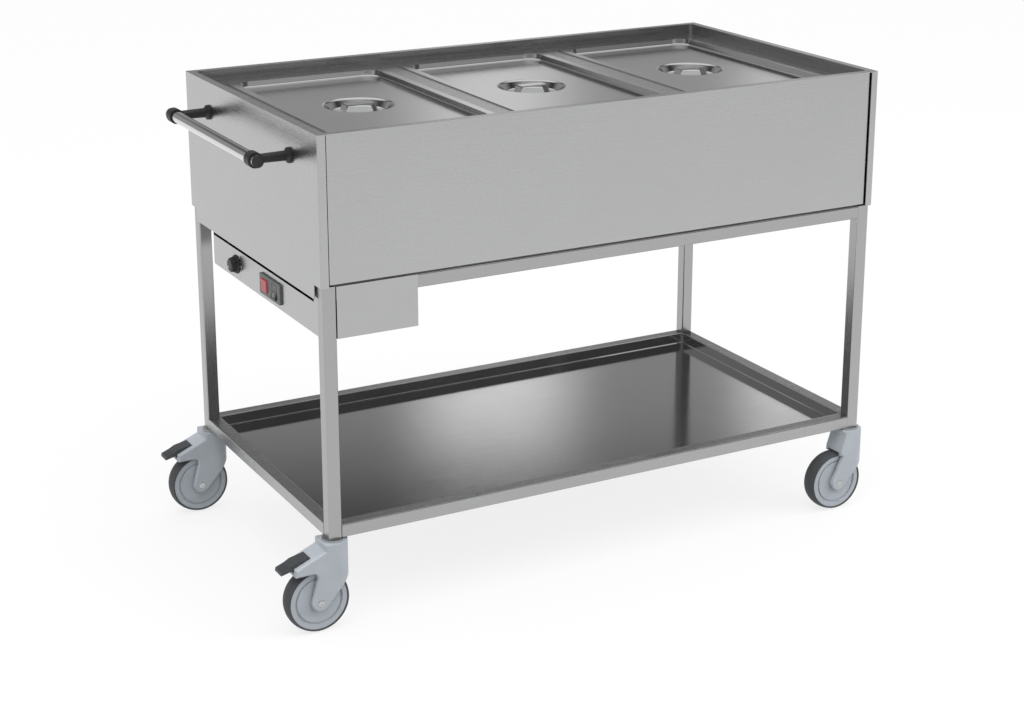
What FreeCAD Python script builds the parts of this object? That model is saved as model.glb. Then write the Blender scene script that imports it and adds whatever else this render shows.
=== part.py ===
import FreeCAD, Part
import os
import re

import Sketcher
from FreeCAD import Placement, Rotation, Vector

# Bain marie trolley: a heated water tank in a sheet steel casing, carried by a square tube frame
# with a lower tray shelf on four swivel casters. Millimetres, +X along the casing away from the
# push handle, -Y the front side, +Z up, floor at zero.

# Driving dimensions: name, size, what it measures
DRIVING = [
    # casing
    ("casing_length", 1170, "outside of one end panel to the other"),
    ("casing_depth", 640, "front to back over the corner strips"),
    ("top_height", 900, "floor to the top of the rim"),
    ("casing_height", 266, "corner strips, from the frame to the top of the rim"),
    ("sheet_gauge", 1.0, "steel sheet of the casing, tank, shelf and control box"),
    ("bend_radius", 2.5, "outside of a sheet bend"),
    ("edge_break", 1, "small bevel on turned and moulded edges"),
    ("corner_strip", 15, "end panel folded round onto the long side"),
    ("panel_setback", 4, "long panels behind the face of the corner strips"),
    ("seam_gap", 3, "open seam from a corner strip to a long panel"),
    ("seam_depth", 12, "sheet folded in beside that seam"),
    ("top_return", 10, "long panel folded in under the rim"),
    ("bottom_return", 22, "long panel folded in over the frame"),
    ("shadow_gap", 3, "edge of a long panel above the frame"),
    ("shadow_depth", 8, "how far that gap runs in"),
    ("apron_drop", 26, "end panel below the corner strips, between the legs"),
    ("apron_gap", 1.0, "apron to leg"),
    ("rim_width", 16, "flat top of the rim"),
    ("rim_drop", 20, "deck below the top of the rim"),
    ("recess_corner", 8, "corner of the deck recess"),
    # tube frame
    ("tube_size", 25, "square tube, outside"),
    ("tube_gauge", 1.5, "square tube wall"),
    ("tube_corner", 2.5, "square tube outside corner"),
    ("leg_inset", 4, "legs behind the faces of the casing"),
    # lower shelf
    ("tray_lift", 2, "tray above the underside of its rails"),
    ("tray_lip", 1, "edge of the tray below the top of its rails"),
    ("tray_corner", 8, "upright corner of the tray"),
    ("tray_bend", 3, "tray floor to its walls"),
    # gastronorm pans in the deck
    ("pan_width", 325, "flange of a full size pan along the casing"),
    ("pan_length", 530, "flange of a full size pan across the casing"),
    ("pan_gap", 40, "flange of one pan to the next"),
    ("pan_lip", 10, "flange resting on the deck"),
    ("pan_fit", 1.0, "body of a pan to the opening, each side"),
    ("pan_depth", 150, "below the deck"),
    ("pan_gauge", 1.0, "pan and lid sheet"),
    ("pan_corner", 32, "upright corner of a pan"),
    ("pan_flange_corner", 14, "corner of a flange"),
    ("pan_floor_bend", 18, "pan floor to its walls"),
    ("pan_draft", 2, "degrees of slope of the pan walls"),
    # lids
    ("lid_fit", 1.5, "recess of a lid to the inside of the pan, each side"),
    ("lid_recess", 11, "panel of a lid below its flange"),
    ("lid_draft", 14, "degrees of slope of the recess walls"),
    ("lid_bend", 4, "panel of a lid to its walls"),
    ("dish_diameter", 130, "finger dish at its mouth"),
    ("dish_depth", 16, "finger dish below the panel"),
    ("dish_draft", 24, "degrees of slope of the dish wall"),
    ("dish_bend", 5, "dish floor to its wall"),
    ("strap_width", 22, "handle strap across the dish"),
    ("strap_gauge", 2, "thickness of the handle strap"),
    ("strap_foot", 46, "middle of the strap to the end of a foot"),
    ("strap_knee", 36, "middle of the strap to the inside of a foot"),
    ("strap_shoulder", 28, "middle of the strap to the end of its flat top"),
    ("strap_rise", 3, "top of the strap above the panel of the lid"),
    ("strap_bend", 3, "outside bend of the strap"),
    # water tank and what is under it
    ("tank_depth", 212, "tank below the deck sheet"),
    ("tank_corner", 24, "upright corner of the tank"),
    ("tank_floor_bend", 10, "tank floor to its walls"),
    ("tank_flange", 12, "flange under the deck"),
    ("bar_drop", 14, "height of a cross bar"),
    ("bar_gap", 0.4, "cross bar to each side of the opening"),
    ("ledge_depth", 9, "seat of a cross bar, out from the tank wall"),
    ("ledge_gauge", 2, "thickness of that seat"),
    ("element_diameter", 8.5, "heating element sheath"),
    ("element_margin", 87.5, "straight runs of the heating element short of the tank ends"),
    ("element_pitch", 110, "one run of the heating element to the next"),
    ("element_gap", 0.3, "heating element to the tank and to the insulation"),
    # drain
    ("drain_from_end", 157.5, "drain short of the tank end away from the handle"),
    ("drain_across", 110, "drain behind the middle of the casing"),
    ("drain_bore", 9, "radius of the water way"),
    ("drain_wall", 2, "wall of the drain pipe"),
    ("drain_flange", 24, "radius of the flange under the tank"),
    ("drain_flange_gauge", 3, "thickness of that flange"),
    ("drain_hole_gap", 1.5, "drain pipe to the holes it passes through"),
    ("valve_radius", 17, "ball valve body"),
    ("valve_length", 44, "ball valve body along the pipe"),
    ("valve_below_rail", 20, "valve body below the frame"),
    ("spout_length", 22, "outlet below the valve body"),
    ("stem_radius", 4, "valve stem"),
    ("stem_reach", 34, "middle of the valve to the end of its stem"),
    ("lever_length", 78, "valve lever from its stem"),
    ("lever_width", 14, "valve lever"),
    ("lever_gauge", 4, "valve lever"),
    ("lever_gap", 0.5, "valve lever to its collar and to the end of the stem"),
    ("running_fit", 0.05, "radial clearance of a turning shaft"),
    # control box
    ("box_inset", 6, "control panel behind the end panel"),
    ("box_length", 177, "control box along the casing"),
    ("box_short_of_back", 102, "control box to the back of the casing"),
    ("box_height", 69, "control box below the frame rails"),
    ("box_slot", 11, "open slot over the control panel"),
    ("slot_margin", 18, "that slot short of the front leg"),
    ("box_gap", 0.5, "control box to the leg it passes"),
    ("knob_from_front", 419, "thermostat knob behind the front of the casing"),
    ("knob_radius", 18, "knob over its skirt"),
    ("knob_grip", 15, "knob grip at its root"),
    ("knob_taper", 1.5, "loss of radius along the grip"),
    ("knob_reach", 14, "knob out from the panel"),
    ("knob_gap", 0.6, "knob skirt to the panel"),
    ("knob_flutes", 14, "finger flutes round the knob"),
    ("flute_radius", 3, "finger flute"),
    ("spindle_radius", 3, "thermostat spindle"),
    ("bush_radius", 5, "threaded bush through the panel"),
    ("bush_reach", 2, "bush out from the panel"),
    ("thermostat_size", 40, "thermostat body, square"),
    ("thermostat_depth", 34, "thermostat body behind the panel"),
    ("switch_from_front", 243, "middle of the switch bezel behind the front of the casing"),
    ("bezel_width", 96, "switch bezel along the panel"),
    ("bezel_height", 38, "switch bezel upright"),
    ("bezel_gauge", 4, "switch bezel out from the panel"),
    ("switch_depth", 28, "switch body behind the panel"),
    ("switch_margin", 3, "bezel round the switch body"),
    ("window_from_middle", 22, "middle of the bezel to a window"),
    ("rocker_width", 22, "rocker along the panel"),
    ("rocker_height", 27, "rocker upright"),
    ("rocker_gap", 1.2, "rocker to its window"),
    ("rocker_pivot", 4, "rocker pivot behind the face of the bezel"),
    ("rocker_angle", 8, "degrees each face of the rocker leans"),
    ("rocker_root", 9, "rocker behind its pivot"),
    ("trunnion_radius", 1.5, "rocker pin"),
    ("trunnion_reach", 2.5, "rocker pin into the bezel"),
    ("lens_width", 26, "pilot lamp lens along the panel"),
    ("lens_height", 24, "pilot lamp lens upright"),
    ("lens_proud", 3, "lens out from the bezel"),
    ("lens_bend", 2.5, "rounded edge of the lens"),
    ("lens_depth", 8, "lens into the bezel and switch body"),
    ("gland_size", 22, "cable gland across its flats"),
    ("gland_bore", 5, "radius of the cable way"),
    # push handle
    ("handle_diameter", 22, "push bar"),
    ("handle_wall", 1.5, "push bar tube wall"),
    ("handle_length", 436, "push bar end to end"),
    ("handle_standoff", 66, "middle of the push bar out from the end panel"),
    ("handle_drop", 58, "middle of the push bar below the rim"),
    ("bracket_spacing", 396, "one handle bracket to the other"),
    ("bracket_width", 20, "bracket ring along the bar"),
    ("bracket_wall", 3, "bracket ring round the bar"),
    ("bracket_foot", 14, "radius of the bracket foot on the panel"),
    ("bracket_foot_gauge", 5, "thickness of that foot"),
    ("bracket_arm", 9, "radius of the bracket arm"),
    ("plug_depth", 14, "end plug inside the push bar"),
    ("plug_cap", 3, "end plug outside the push bar"),
    ("plug_fit", 0.1, "end plug to the tube"),
    # casters
    ("wheel_radius", 60, "over the tread"),
    ("wheel_width", 32, "over the tyre"),
    ("wheel_core", 54, "radius of the wheel core under the tyre"),
    ("core_inset", 2, "side of the wheel core inside the side of the tyre"),
    ("tread_crown", 3, "tread middle above its shoulders"),
    ("hub_width", 34, "wheel hub along the axle"),
    ("hub_radius", 13, "wheel hub"),
    ("groove_inner", 41, "ring groove in the wheel face, inside radius"),
    ("groove_outer", 45.5, "ring groove in the wheel face, outside radius"),
    ("groove_depth", 4, "ring groove below the rim of the wheel face"),
    ("axle_radius", 4, "wheel axle"),
    ("caster_trail", 36, "wheel axle behind the swivel axis"),
    ("head_radius", 25, "swivel head of the fork"),
    ("fork_width", 52, "fork over its cheeks"),
    ("fork_wheel_gap", 3, "fork crown to the tread"),
    ("fork_side_gap", 2, "fork cheek to the tyre"),
    ("fork_crown", 50, "bottom of a leg above the tread"),
    ("waist_below_tread", 16, "where the back of the fork turns in to the axle"),
    ("axle_boss", 17, "radius of the fork round the axle"),
    ("hood_overlap", 3, "hood down over the tread"),
    ("arch_before_axle", 8, "arch of a plain fork before the wheel axle"),
    ("nose_before_axle", 1, "nose of a plain fork before the wheel axle"),
    ("nose_above_tread", 6, "top of the nose of a plain fork"),
    ("brake_arch_behind_axle", 2, "arch of a fork with a brake behind the wheel axle"),
    ("brake_nose_behind_axle", 46, "nose of a fork with a brake behind the wheel axle"),
    ("brake_nose_above_tread", 12, "top of the nose of a fork with a brake"),
    ("neck_above_tread", 36, "where the hood meets the swivel head"),
    ("fork_round", 4, "moulded outside edge of the fork"),
    ("arch_round", 3, "inside corner of the arch of a plain fork"),
    ("brake_arch_round", 9, "inside corner of the arch of a fork with a brake"),
    ("swivel_gap", 0.4, "fork head to the stem flange"),
    ("stem_flange", 3, "thickness of the stem flange"),
    ("stem_flange_radius", 20, "stem flange"),
    ("stem_height", 42, "expanding plug inside the leg"),
    ("stem_fit", 0.2, "plug to the inside of the leg, each side"),
    ("kingpin_radius", 6, "swivel pin"),
    ("kingpin_length", 28, "swivel pin below its flange"),
    # brake pedals
    ("pedal_overhang", 24, "tip of the pedal behind the hood"),
    ("pedal_width", 29, "pedal across the hood"),
    ("pedal_gap", 0.8, "pedal to each side of its slot"),
    ("pedal_gauge", 6, "pedal plate at its tip"),
    ("pedal_tip_drop", 9, "tip of the pedal below its pivot"),
    ("pedal_heel_drop", 5, "heel of the pedal below its pivot"),
    ("pedal_heel_rise", 15, "heel of the pedal above its pivot"),
    ("slot_behind_axle", 14, "end of the pedal slot behind the wheel axle"),
    ("pivot_behind_slot", 14, "pedal pivot behind the end of its slot"),
    ("pivot_above_slot", 9, "pedal pivot above the floor of its slot"),
    ("pedal_pin", 2.5, "radius of the pedal pivot"),
    ("pedal_pin_reach", 4, "pedal pivot into each side of the hood"),
]

# Places and sizes that follow from the driving dimensions
DERIVED = [
    ("tread_top", "2 * wheel_radius"),
    ("caster_height", "tread_top + fork_crown"),
    ("fork_waist", "tread_top - waist_below_tread"),
    ("hood_edge", "tread_top - hood_overlap"),
    ("nose_top", "tread_top + nose_above_tread"),
    ("brake_nose_top", "tread_top + brake_nose_above_tread"),
    ("hood_neck", "tread_top + neck_above_tread"),
    ("arch_back", "caster_trail - arch_before_axle"),
    ("nose_back", "caster_trail - nose_before_axle"),
    ("brake_arch_back", "caster_trail + brake_arch_behind_axle"),
    ("brake_nose_back", "caster_trail + brake_nose_behind_axle"),
    ("pedal_reach", "brake_nose_back + pedal_overhang"),
    ("pedal_slot_end", "caster_trail + slot_behind_axle"),
    ("pedal_slot_floor", "tread_top + fork_wheel_gap"),
    ("pedal_pivot_back", "pedal_slot_end + pivot_behind_slot"),
    ("pedal_pivot_height", "pedal_slot_floor + pivot_above_slot"),
    ("casing_centre", "(pedal_reach - head_radius) / 2"),
    ("left_face", "casing_centre - casing_length / 2"),
    ("right_face", "casing_centre + casing_length / 2"),
    ("casing_bottom", "top_height - casing_height"),
    ("leg_offset", "leg_inset + tube_size / 2"),
    ("leg_left", "left_face + leg_offset"),
    ("leg_right", "right_face - leg_offset"),
    ("leg_back", "casing_depth / 2 - leg_offset"),
    ("rail_bottom", "casing_bottom - tube_size"),
    ("panel_length", "casing_length - 2 * corner_strip - 2 * seam_gap"),
    ("rail_length", "casing_length - 2 * leg_inset - 2 * tube_size"),
    ("rail_depth", "casing_depth - 2 * leg_inset - 2 * tube_size"),
    ("deck_level", "top_height - rim_drop"),
    ("pan_pitch", "pan_width + pan_gap"),
    ("well_length", "2 * pan_pitch + pan_width - 2 * pan_lip"),
    ("well_depth", "pan_length - 2 * pan_lip"),
    ("bar_width", "pan_pitch - pan_width + 2 * pan_lip"),
    ("pan_body_width", "pan_width - 2 * pan_lip - 2 * pan_fit"),
    ("pan_body_length", "pan_length - 2 * pan_lip - 2 * pan_fit"),
    ("lid_body_width", "pan_body_width - 2 * pan_gauge - 2 * lid_fit"),
    ("lid_body_length", "pan_body_length - 2 * pan_gauge - 2 * lid_fit"),
    ("lid_corner", "pan_corner - pan_gauge - lid_fit"),
    ("dish_floor", "pan_gauge - lid_recess - dish_depth"),
    ("tank_floor", "deck_level - sheet_gauge - tank_depth"),
    ("element_run", "well_length - 2 * element_margin"),
    ("element_level", "tank_floor - element_gap - element_diameter / 2"),
    ("insulation_top", "element_level - element_diameter / 2 - element_gap"),
    ("base_top", "casing_bottom + sheet_gauge"),
    ("drain_along", "well_length / 2 - drain_from_end"),
    ("drain_x", "casing_centre + drain_along"),
    ("pipe_radius", "drain_bore + drain_wall"),
    ("valve_top", "rail_bottom - valve_below_rail"),
    ("valve_middle", "valve_top - valve_length / 2"),
    ("box_right", "box_inset + box_length"),
    ("box_back", "casing_depth / 2 - box_short_of_back"),
    ("box_front", "leg_inset - sheet_gauge - casing_depth / 2"),
    ("leg_clear", "leg_inset + tube_size + box_gap"),
    ("box_bottom", "rail_bottom - box_height"),
    ("panel_middle", "(box_height - box_slot) / 2"),
    ("control_level", "box_bottom + panel_middle"),
    ("panel_face", "left_face + box_inset"),
    ("knob_across", "knob_from_front - casing_depth / 2"),
    ("switch_across", "switch_from_front - casing_depth / 2"),
    ("handle_level", "top_height - handle_drop"),
    ("fork_top", "caster_height - stem_flange - swivel_gap"),
    ("wheel_space", "wheel_radius + fork_wheel_gap"),
    ("tread_edge", "wheel_radius - tread_crown"),
    ("pedal_slot", "pedal_width + 2 * pedal_gap"),
]

PANS = {"left": -1, "middle": 0, "right": 1}
CORNERS = {
    "front_left": ("leg_left", "-leg_back"),
    "front_right": ("leg_right", "-leg_back"),
    "back_left": ("leg_left", "leg_back"),
    "back_right": ("leg_right", "leg_back"),
}
BRAKED = ("front_left", "back_left")

UPRIGHT = Rotation()
ALONG_X = Rotation(Vector(0, 1, 0), 90)
ALONG_Y = Rotation(Vector(1, 0, 0), -90)
TURNED = Rotation(Vector(0, 0, 1), 180)
X_AXIS = Vector(1, 0, 0)
Y_AXIS = Vector(0, 1, 0)
Z_AXIS = Vector(0, 0, 1)
NEAR = 0.01
PARALLEL = 0.999

doc = FreeCAD.newDocument("BainMarieTrolley")
sizes = doc.addObject("Spreadsheet::Sheet", "Sizes")
sub_parts = []


# The sheet of sizes
def fill_sheet():
    for row, (name, size, note) in enumerate(DRIVING, 1):
        sizes.set(f"A{row}", note)
        sizes.set(f"B{row}", str(size))
        sizes.setAlias(f"B{row}", name)
    for row, (name, formula) in enumerate(DERIVED, len(DRIVING) + 1):
        sizes.set(f"A{row}", name.replace("_", " "))
        sizes.set(f"B{row}", "=" + formula)
        sizes.setAlias(f"B{row}", name)
    doc.recompute()


ALIASES = {entry[0] for entry in DRIVING + DERIVED}


def number(formula):
    """The value of a formula written in the names of the sheet."""
    return float(sizes.evalExpression(str(formula)))


def bind(target, path, formula):
    """Tie a property to a formula written in the names of the sheet."""

    def cell(match):
        word = match.group()
        return "Sizes." + word if word in ALIASES else word

    target.setExpression(path, re.sub(r"[a-z_]+", cell, str(formula)))


# Bodies, sketches and features
def new_body(name):
    return doc.addObject("PartDesign::Body", name)


def sketch_on(body, role, lift="0"):
    """A sketch on one of the body's own origin planes, lifted along the plane's normal."""
    sketch = body.newObject("Sketcher::SketchObject", "Profile")
    plane = next(p for p in body.Origin.OriginFeatures if p.Role == role)
    sketch.AttachmentSupport = [(plane, "")]
    sketch.MapMode = "FlatFace"
    bind(sketch, "AttachmentOffset.Base.z", lift)
    return sketch


def hold(sketch, kind, geometry, point, formula):
    """Hold one coordinate of a point, or a radius, to a formula."""
    value = number(formula)
    if kind == "Radius":
        index = sketch.addConstraint(Sketcher.Constraint(kind, geometry, value))
    else:
        index = sketch.addConstraint(Sketcher.Constraint(kind, geometry, point, value))
    bind(sketch, f"Constraints[{index}]", formula)


def hold_point(sketch, geometry, point, x, y):
    hold(sketch, "DistanceX", geometry, point, x)
    hold(sketch, "DistanceY", geometry, point, y)


def outline(sketch, corners):
    """A closed outline of straight runs, each corner held by a pair of formulas."""
    places = [Vector(number(x), number(y), 0) for x, y in corners]
    first = sketch.GeometryCount
    count = len(places)
    for i, place in enumerate(places):
        sketch.addGeometry(Part.LineSegment(place, places[(i + 1) % count]))
    for i in range(count):
        follower = first + (i + 1) % count
        sketch.addConstraint(Sketcher.Constraint("Coincident", first + i, 2, follower, 1))
    for i, (x, y) in enumerate(corners):
        hold_point(sketch, first + i, 1, x, y)


def rectangle(sketch, x0, y0, x1, y1):
    outline(sketch, [(x0, y0), (x1, y0), (x1, y1), (x0, y1)])


def rounded_rectangle(sketch, half_x, half_y, radius, x="0", y="0"):
    """A rectangle about a middle point, with its corners rounded."""
    signs = [(1, -1), (1, 1), (-1, 1), (-1, -1)]
    first = sketch.GeometryCount
    mid = Vector(number(x), number(y), 0)
    reach_x, reach_y, bend = number(half_x), number(half_y), number(radius)
    for turn, (sx, sy) in enumerate(signs):
        centre = mid + Vector(sx * (reach_x - bend), sy * (reach_y - bend), 0)
        start = FreeCAD.Units.Quantity(f"{(turn - 1) * 90} deg").getValueAs("rad").Value
        quarter = FreeCAD.Units.Quantity("90 deg").getValueAs("rad").Value
        circle_under = Part.Circle(centre, Z_AXIS, bend)
        sketch.addGeometry(Part.ArcOfCircle(circle_under, start, start + quarter))
    for turn in range(4):
        here, there = first + turn, first + (turn + 1) % 4
        ends = sketch.getPoint(here, 2), sketch.getPoint(there, 1)
        line = sketch.addGeometry(Part.LineSegment(*ends))
        sketch.addConstraint(Sketcher.Constraint("Tangent", here, 2, line, 1))
        sketch.addConstraint(Sketcher.Constraint("Tangent", line, 2, there, 1))
        level = "Horizontal" if turn % 2 else "Vertical"
        sketch.addConstraint(Sketcher.Constraint(level, line))
    for turn, (sx, sy) in enumerate(signs):
        centre_x = f"{x} + {sx} * ({half_x} - ({radius}))"
        centre_y = f"{y} + {sy} * ({half_y} - ({radius}))"
        hold(sketch, "DistanceX", first + turn, 3, centre_x)
        if turn < 3:
            hold(sketch, "DistanceY", first + turn, 3, centre_y)
    hold(sketch, "Radius", first, 0, radius)


def circle(sketch, x, y, radius):
    place = Vector(number(x), number(y), 0)
    index = sketch.addGeometry(Part.Circle(place, Z_AXIS, number(radius)))
    hold_point(sketch, index, 3, x, y)
    hold(sketch, "Radius", index, 0, radius)


def extrude(body, kind, sketch, length, both_ways=False, backwards=False, draft="0"):
    """A Pad or a Pocket of a sketch."""
    feature = body.newObject("PartDesign::" + kind, kind)
    feature.Profile = sketch
    feature.SideType = "Symmetric" if both_ways else "One side"
    feature.Reversed = backwards
    bind(feature, "Length", length)
    bind(feature, "TaperAngle", draft)
    sketch.Visibility = False
    doc.recompute()
    return feature


def pad(body, sketch, length, **how):
    return extrude(body, "Pad", sketch, length, **how)


def pocket(body, sketch, length, **how):
    before = body.Shape.Volume
    feature = extrude(body, "Pocket", sketch, length, **how)
    if body.Shape.Volume >= before - NEAR:
        raise RuntimeError(f"a cut in {body.Label} removes nothing")
    return feature


def revolve(body, sketch, axis):
    """A full turn of a sketch about its own horizontal or vertical axis."""
    feature = body.newObject("PartDesign::Revolution", "Revolution")
    feature.Profile = sketch
    feature.ReferenceAxis = (sketch, [axis])
    feature.Angle = 360
    doc.recompute()
    return feature


def straight_edges(direction, here=lambda middle: True):
    """Chooses the straight edges along a direction whose middles pass a test."""

    def chosen(edge):
        if not isinstance(edge.Curve, Part.Line):
            return False
        along = edge.tangentAt(edge.FirstParameter)
        return abs(along.dot(direction)) > PARALLEL and here(edge.CenterOfMass)

    return chosen


def flat(edge):
    return edge.BoundBox.ZLength < 10 * NEAR


def level_edges(height):
    """Chooses every edge that lies at one height."""
    level = number(height)
    return lambda edge: max(abs(vertex.Z - level) for vertex in edge.Vertexes) < NEAR and flat(edge)


def ring_edges(height, radius):
    """Chooses the round edges of one radius at one height."""
    at_height = level_edges(height)
    size = number(radius)
    return lambda edge: (
        at_height(edge) and isinstance(edge.Curve, Part.Circle) and abs(edge.Curve.Radius - size) < NEAR
    )


def fillet(body, chosen, radius):
    base = body.Tip
    names = [f"Edge{i}" for i, edge in enumerate(base.Shape.Edges, 1) if chosen(edge)]
    feature = body.newObject("PartDesign::Fillet", "Fillet")
    feature.Base = (base, names)
    bind(feature, "Radius", radius)
    doc.recompute()
    return feature


def open_shell(body, height, gauge):
    """Hollow a body to a wall of one gauge, open at the flat face at one height."""
    base = body.Tip
    level = number(height)
    names = []
    for i, face in enumerate(base.Shape.Faces, 1):
        box = face.BoundBox
        if abs(box.ZMin - level) < NEAR and abs(box.ZMax - level) < NEAR:
            names.append(f"Face{i}")
    feature = body.newObject("PartDesign::Thickness", "Thickness")
    feature.Base = (base, names)
    feature.Reversed = True
    feature.Join = "Intersection"
    bind(feature, "Value", gauge)
    doc.recompute()
    return feature


def place(target, x, y, z, rotation=UPRIGHT):
    target.Placement = Placement(Vector(), rotation)
    for letter, formula in zip("xyz", (x, y, z)):
        bind(target, f"Placement.Base.{letter}", formula)


def keep(target, name):
    """Name a finished sub-part."""
    target.Label = name
    sub_parts.append(target)


def keep_group(members, name):
    """Name a sub-part made of several like pieces."""
    together = doc.addObject("Part::Compound", name)
    together.Links = members
    doc.recompute()
    keep(together, name)


# Square tube frame
def square_tube(name, length, x, y, z, rotation=UPRIGHT):
    body = new_body(name)
    profile = sketch_on(body, "XY_Plane")
    half = "tube_size / 2"
    inside = "(tube_size / 2 - tube_gauge)"
    rectangle(profile, "-" + half, "-" + half, half, half)
    rectangle(profile, "-" + inside, "-" + inside, inside, inside)
    pad(body, profile, length)
    outside = number(half) - NEAR
    fillet(body, straight_edges(Z_AXIS, lambda m: abs(m.x) > outside and abs(m.y) > outside), "tube_corner")
    place(body, x, y, z, rotation)
    return body


def make_legs():
    for corner, (x, y) in CORNERS.items():
        leg = square_tube("Leg", "casing_bottom - caster_height", x, y, "caster_height")
        keep(leg, "leg_" + corner)


def make_rails(name, middle):
    """Four rails between the legs, their middles at one height."""
    start_x = "leg_left + tube_size / 2"
    start_y = "tube_size / 2 - leg_back"
    rails = [
        square_tube("Rail", "rail_length", start_x, "-leg_back", middle, ALONG_X),
        square_tube("Rail", "rail_length", start_x, "leg_back", middle, ALONG_X),
        square_tube("Rail", "rail_depth", "leg_left", start_y, middle, ALONG_Y),
        square_tube("Rail", "rail_depth", "leg_right", start_y, middle, ALONG_Y),
    ]
    keep_group(rails, name)


def make_shelf_tray():
    body = new_body("ShelfTray")
    floor = sketch_on(body, "XY_Plane")
    rounded_rectangle(floor, "rail_length / 2", "rail_depth / 2", "tray_corner")
    pad(body, floor, "tube_size - tray_lift - tray_lip")
    fillet(body, level_edges("0"), "tray_bend")
    open_shell(body, "tube_size - tray_lift - tray_lip", "sheet_gauge")
    place(body, "casing_centre", "0", "caster_height + tray_lift")
    keep(body, "shelf_tray")


# Sheet steel casing
def make_end_panel(name, x, rotation):
    """End panel folded round both corners, with an apron between the legs. Outside face at local zero."""
    body = new_body("EndPanel")
    plan = sketch_on(body, "XY_Plane")
    edge, inner = "casing_depth / 2", "corner_strip - sheet_gauge"
    lip, web = f"({edge} - seam_depth)", f"({edge} - sheet_gauge)"
    half = [(inner, lip), (inner, web), ("sheet_gauge", web)]
    far_side = [("0", edge), ("corner_strip", edge), ("corner_strip", lip)] + half
    near_side = [(px, f"-({py})") for px, py in reversed(far_side)]
    outline(plan, far_side + near_side)
    pad(body, plan, "casing_height - sheet_gauge")
    outer = number(edge) - NEAR
    fillet(body, straight_edges(Z_AXIS, lambda m: abs(m.y) > outer and m.x < NEAR), "bend_radius")
    apron = sketch_on(body, "YZ_Plane")
    reach = "(rail_depth / 2 - apron_gap)"
    rectangle(apron, "-" + reach, "-apron_drop", reach, "0")
    pad(body, apron, "sheet_gauge")
    place(body, x, "0", "casing_bottom", rotation)
    keep(body, name)


def make_long_panel(name, x, y, rotation):
    """Front or back panel, folded in all round, with a stepped lower fold that leaves a shadow gap."""
    body = new_body("LongPanel")
    section = sketch_on(body, "YZ_Plane")
    top = "casing_height - sheet_gauge"
    under = "casing_height - 2 * sheet_gauge"
    edge, fold = "shadow_gap", "shadow_gap + sheet_gauge"
    corners = [("0", edge), ("shadow_depth", edge), ("shadow_depth", "0"), ("bottom_return", "0")]
    corners += [("bottom_return", "sheet_gauge"), ("shadow_depth + sheet_gauge", "sheet_gauge")]
    corners += [("shadow_depth + sheet_gauge", fold), ("sheet_gauge", fold), ("sheet_gauge", under)]
    corners += [("top_return", under), ("top_return", top), ("0", top)]
    outline(section, corners)
    pad(body, section, "panel_length")
    for start in ("0", "panel_length - sheet_gauge"):
        side = sketch_on(body, "YZ_Plane", start)
        rectangle(side, "sheet_gauge / 2", fold, "seam_depth - panel_setback", under)
        pad(body, side, "sheet_gauge")
    low = number(edge) + NEAR
    fillet(body, straight_edges(X_AXIS, lambda m: m.y < NEAR and m.z < low), "edge_break")
    place(body, x, y, "casing_bottom", rotation)
    keep(body, name)


def make_top_deck():
    """Rim and recessed deck pressed from one sheet, open over the tank."""
    body = new_body("TopDeck")
    half_x, half_y = "casing_length / 2", "casing_depth / 2"
    block = sketch_on(body, "XY_Plane")
    rounded_rectangle(block, half_x, half_y, "bend_radius")
    rounded_rectangle(block, "well_length / 2", "well_depth / 2", "tank_corner")
    pad(body, block, "rim_drop + sheet_gauge")
    recess = sketch_on(body, "XY_Plane", "sheet_gauge")
    rounded_rectangle(recess, f"({half_x} - rim_width)", f"({half_y} - rim_width)", "recess_corner")
    pocket(body, recess, "rim_drop", backwards=True)
    under = sketch_on(body, "XY_Plane")
    reach = "(rim_width - sheet_gauge)"
    rounded_rectangle(under, f"({half_x} + rim_width)", f"({half_y} + rim_width)", "bend_radius")
    corner = "recess_corner + sheet_gauge"
    rounded_rectangle(under, f"({half_x} - {reach})", f"({half_y} - {reach})", corner)
    pocket(body, under, "rim_drop", backwards=True)
    place(body, "casing_centre", "0", "deck_level - sheet_gauge")
    keep(body, "top_deck")


def make_base_pan():
    """Flat floor of the casing, lying on the rails, with a hole for the drain."""
    body = new_body("BasePan")
    plan = sketch_on(body, "XY_Plane")
    half_x = "(rail_length / 2 + tube_size)"
    half_y = "(casing_depth / 2 - panel_setback - bottom_return - apron_gap)"
    rectangle(plan, "-" + half_x, "-" + half_y, half_x, half_y)
    circle(plan, "drain_along", "drain_across", "pipe_radius + drain_hole_gap")
    pad(body, plan, "sheet_gauge")
    place(body, "casing_centre", "0", "casing_bottom")
    keep(body, "base_pan")


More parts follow.
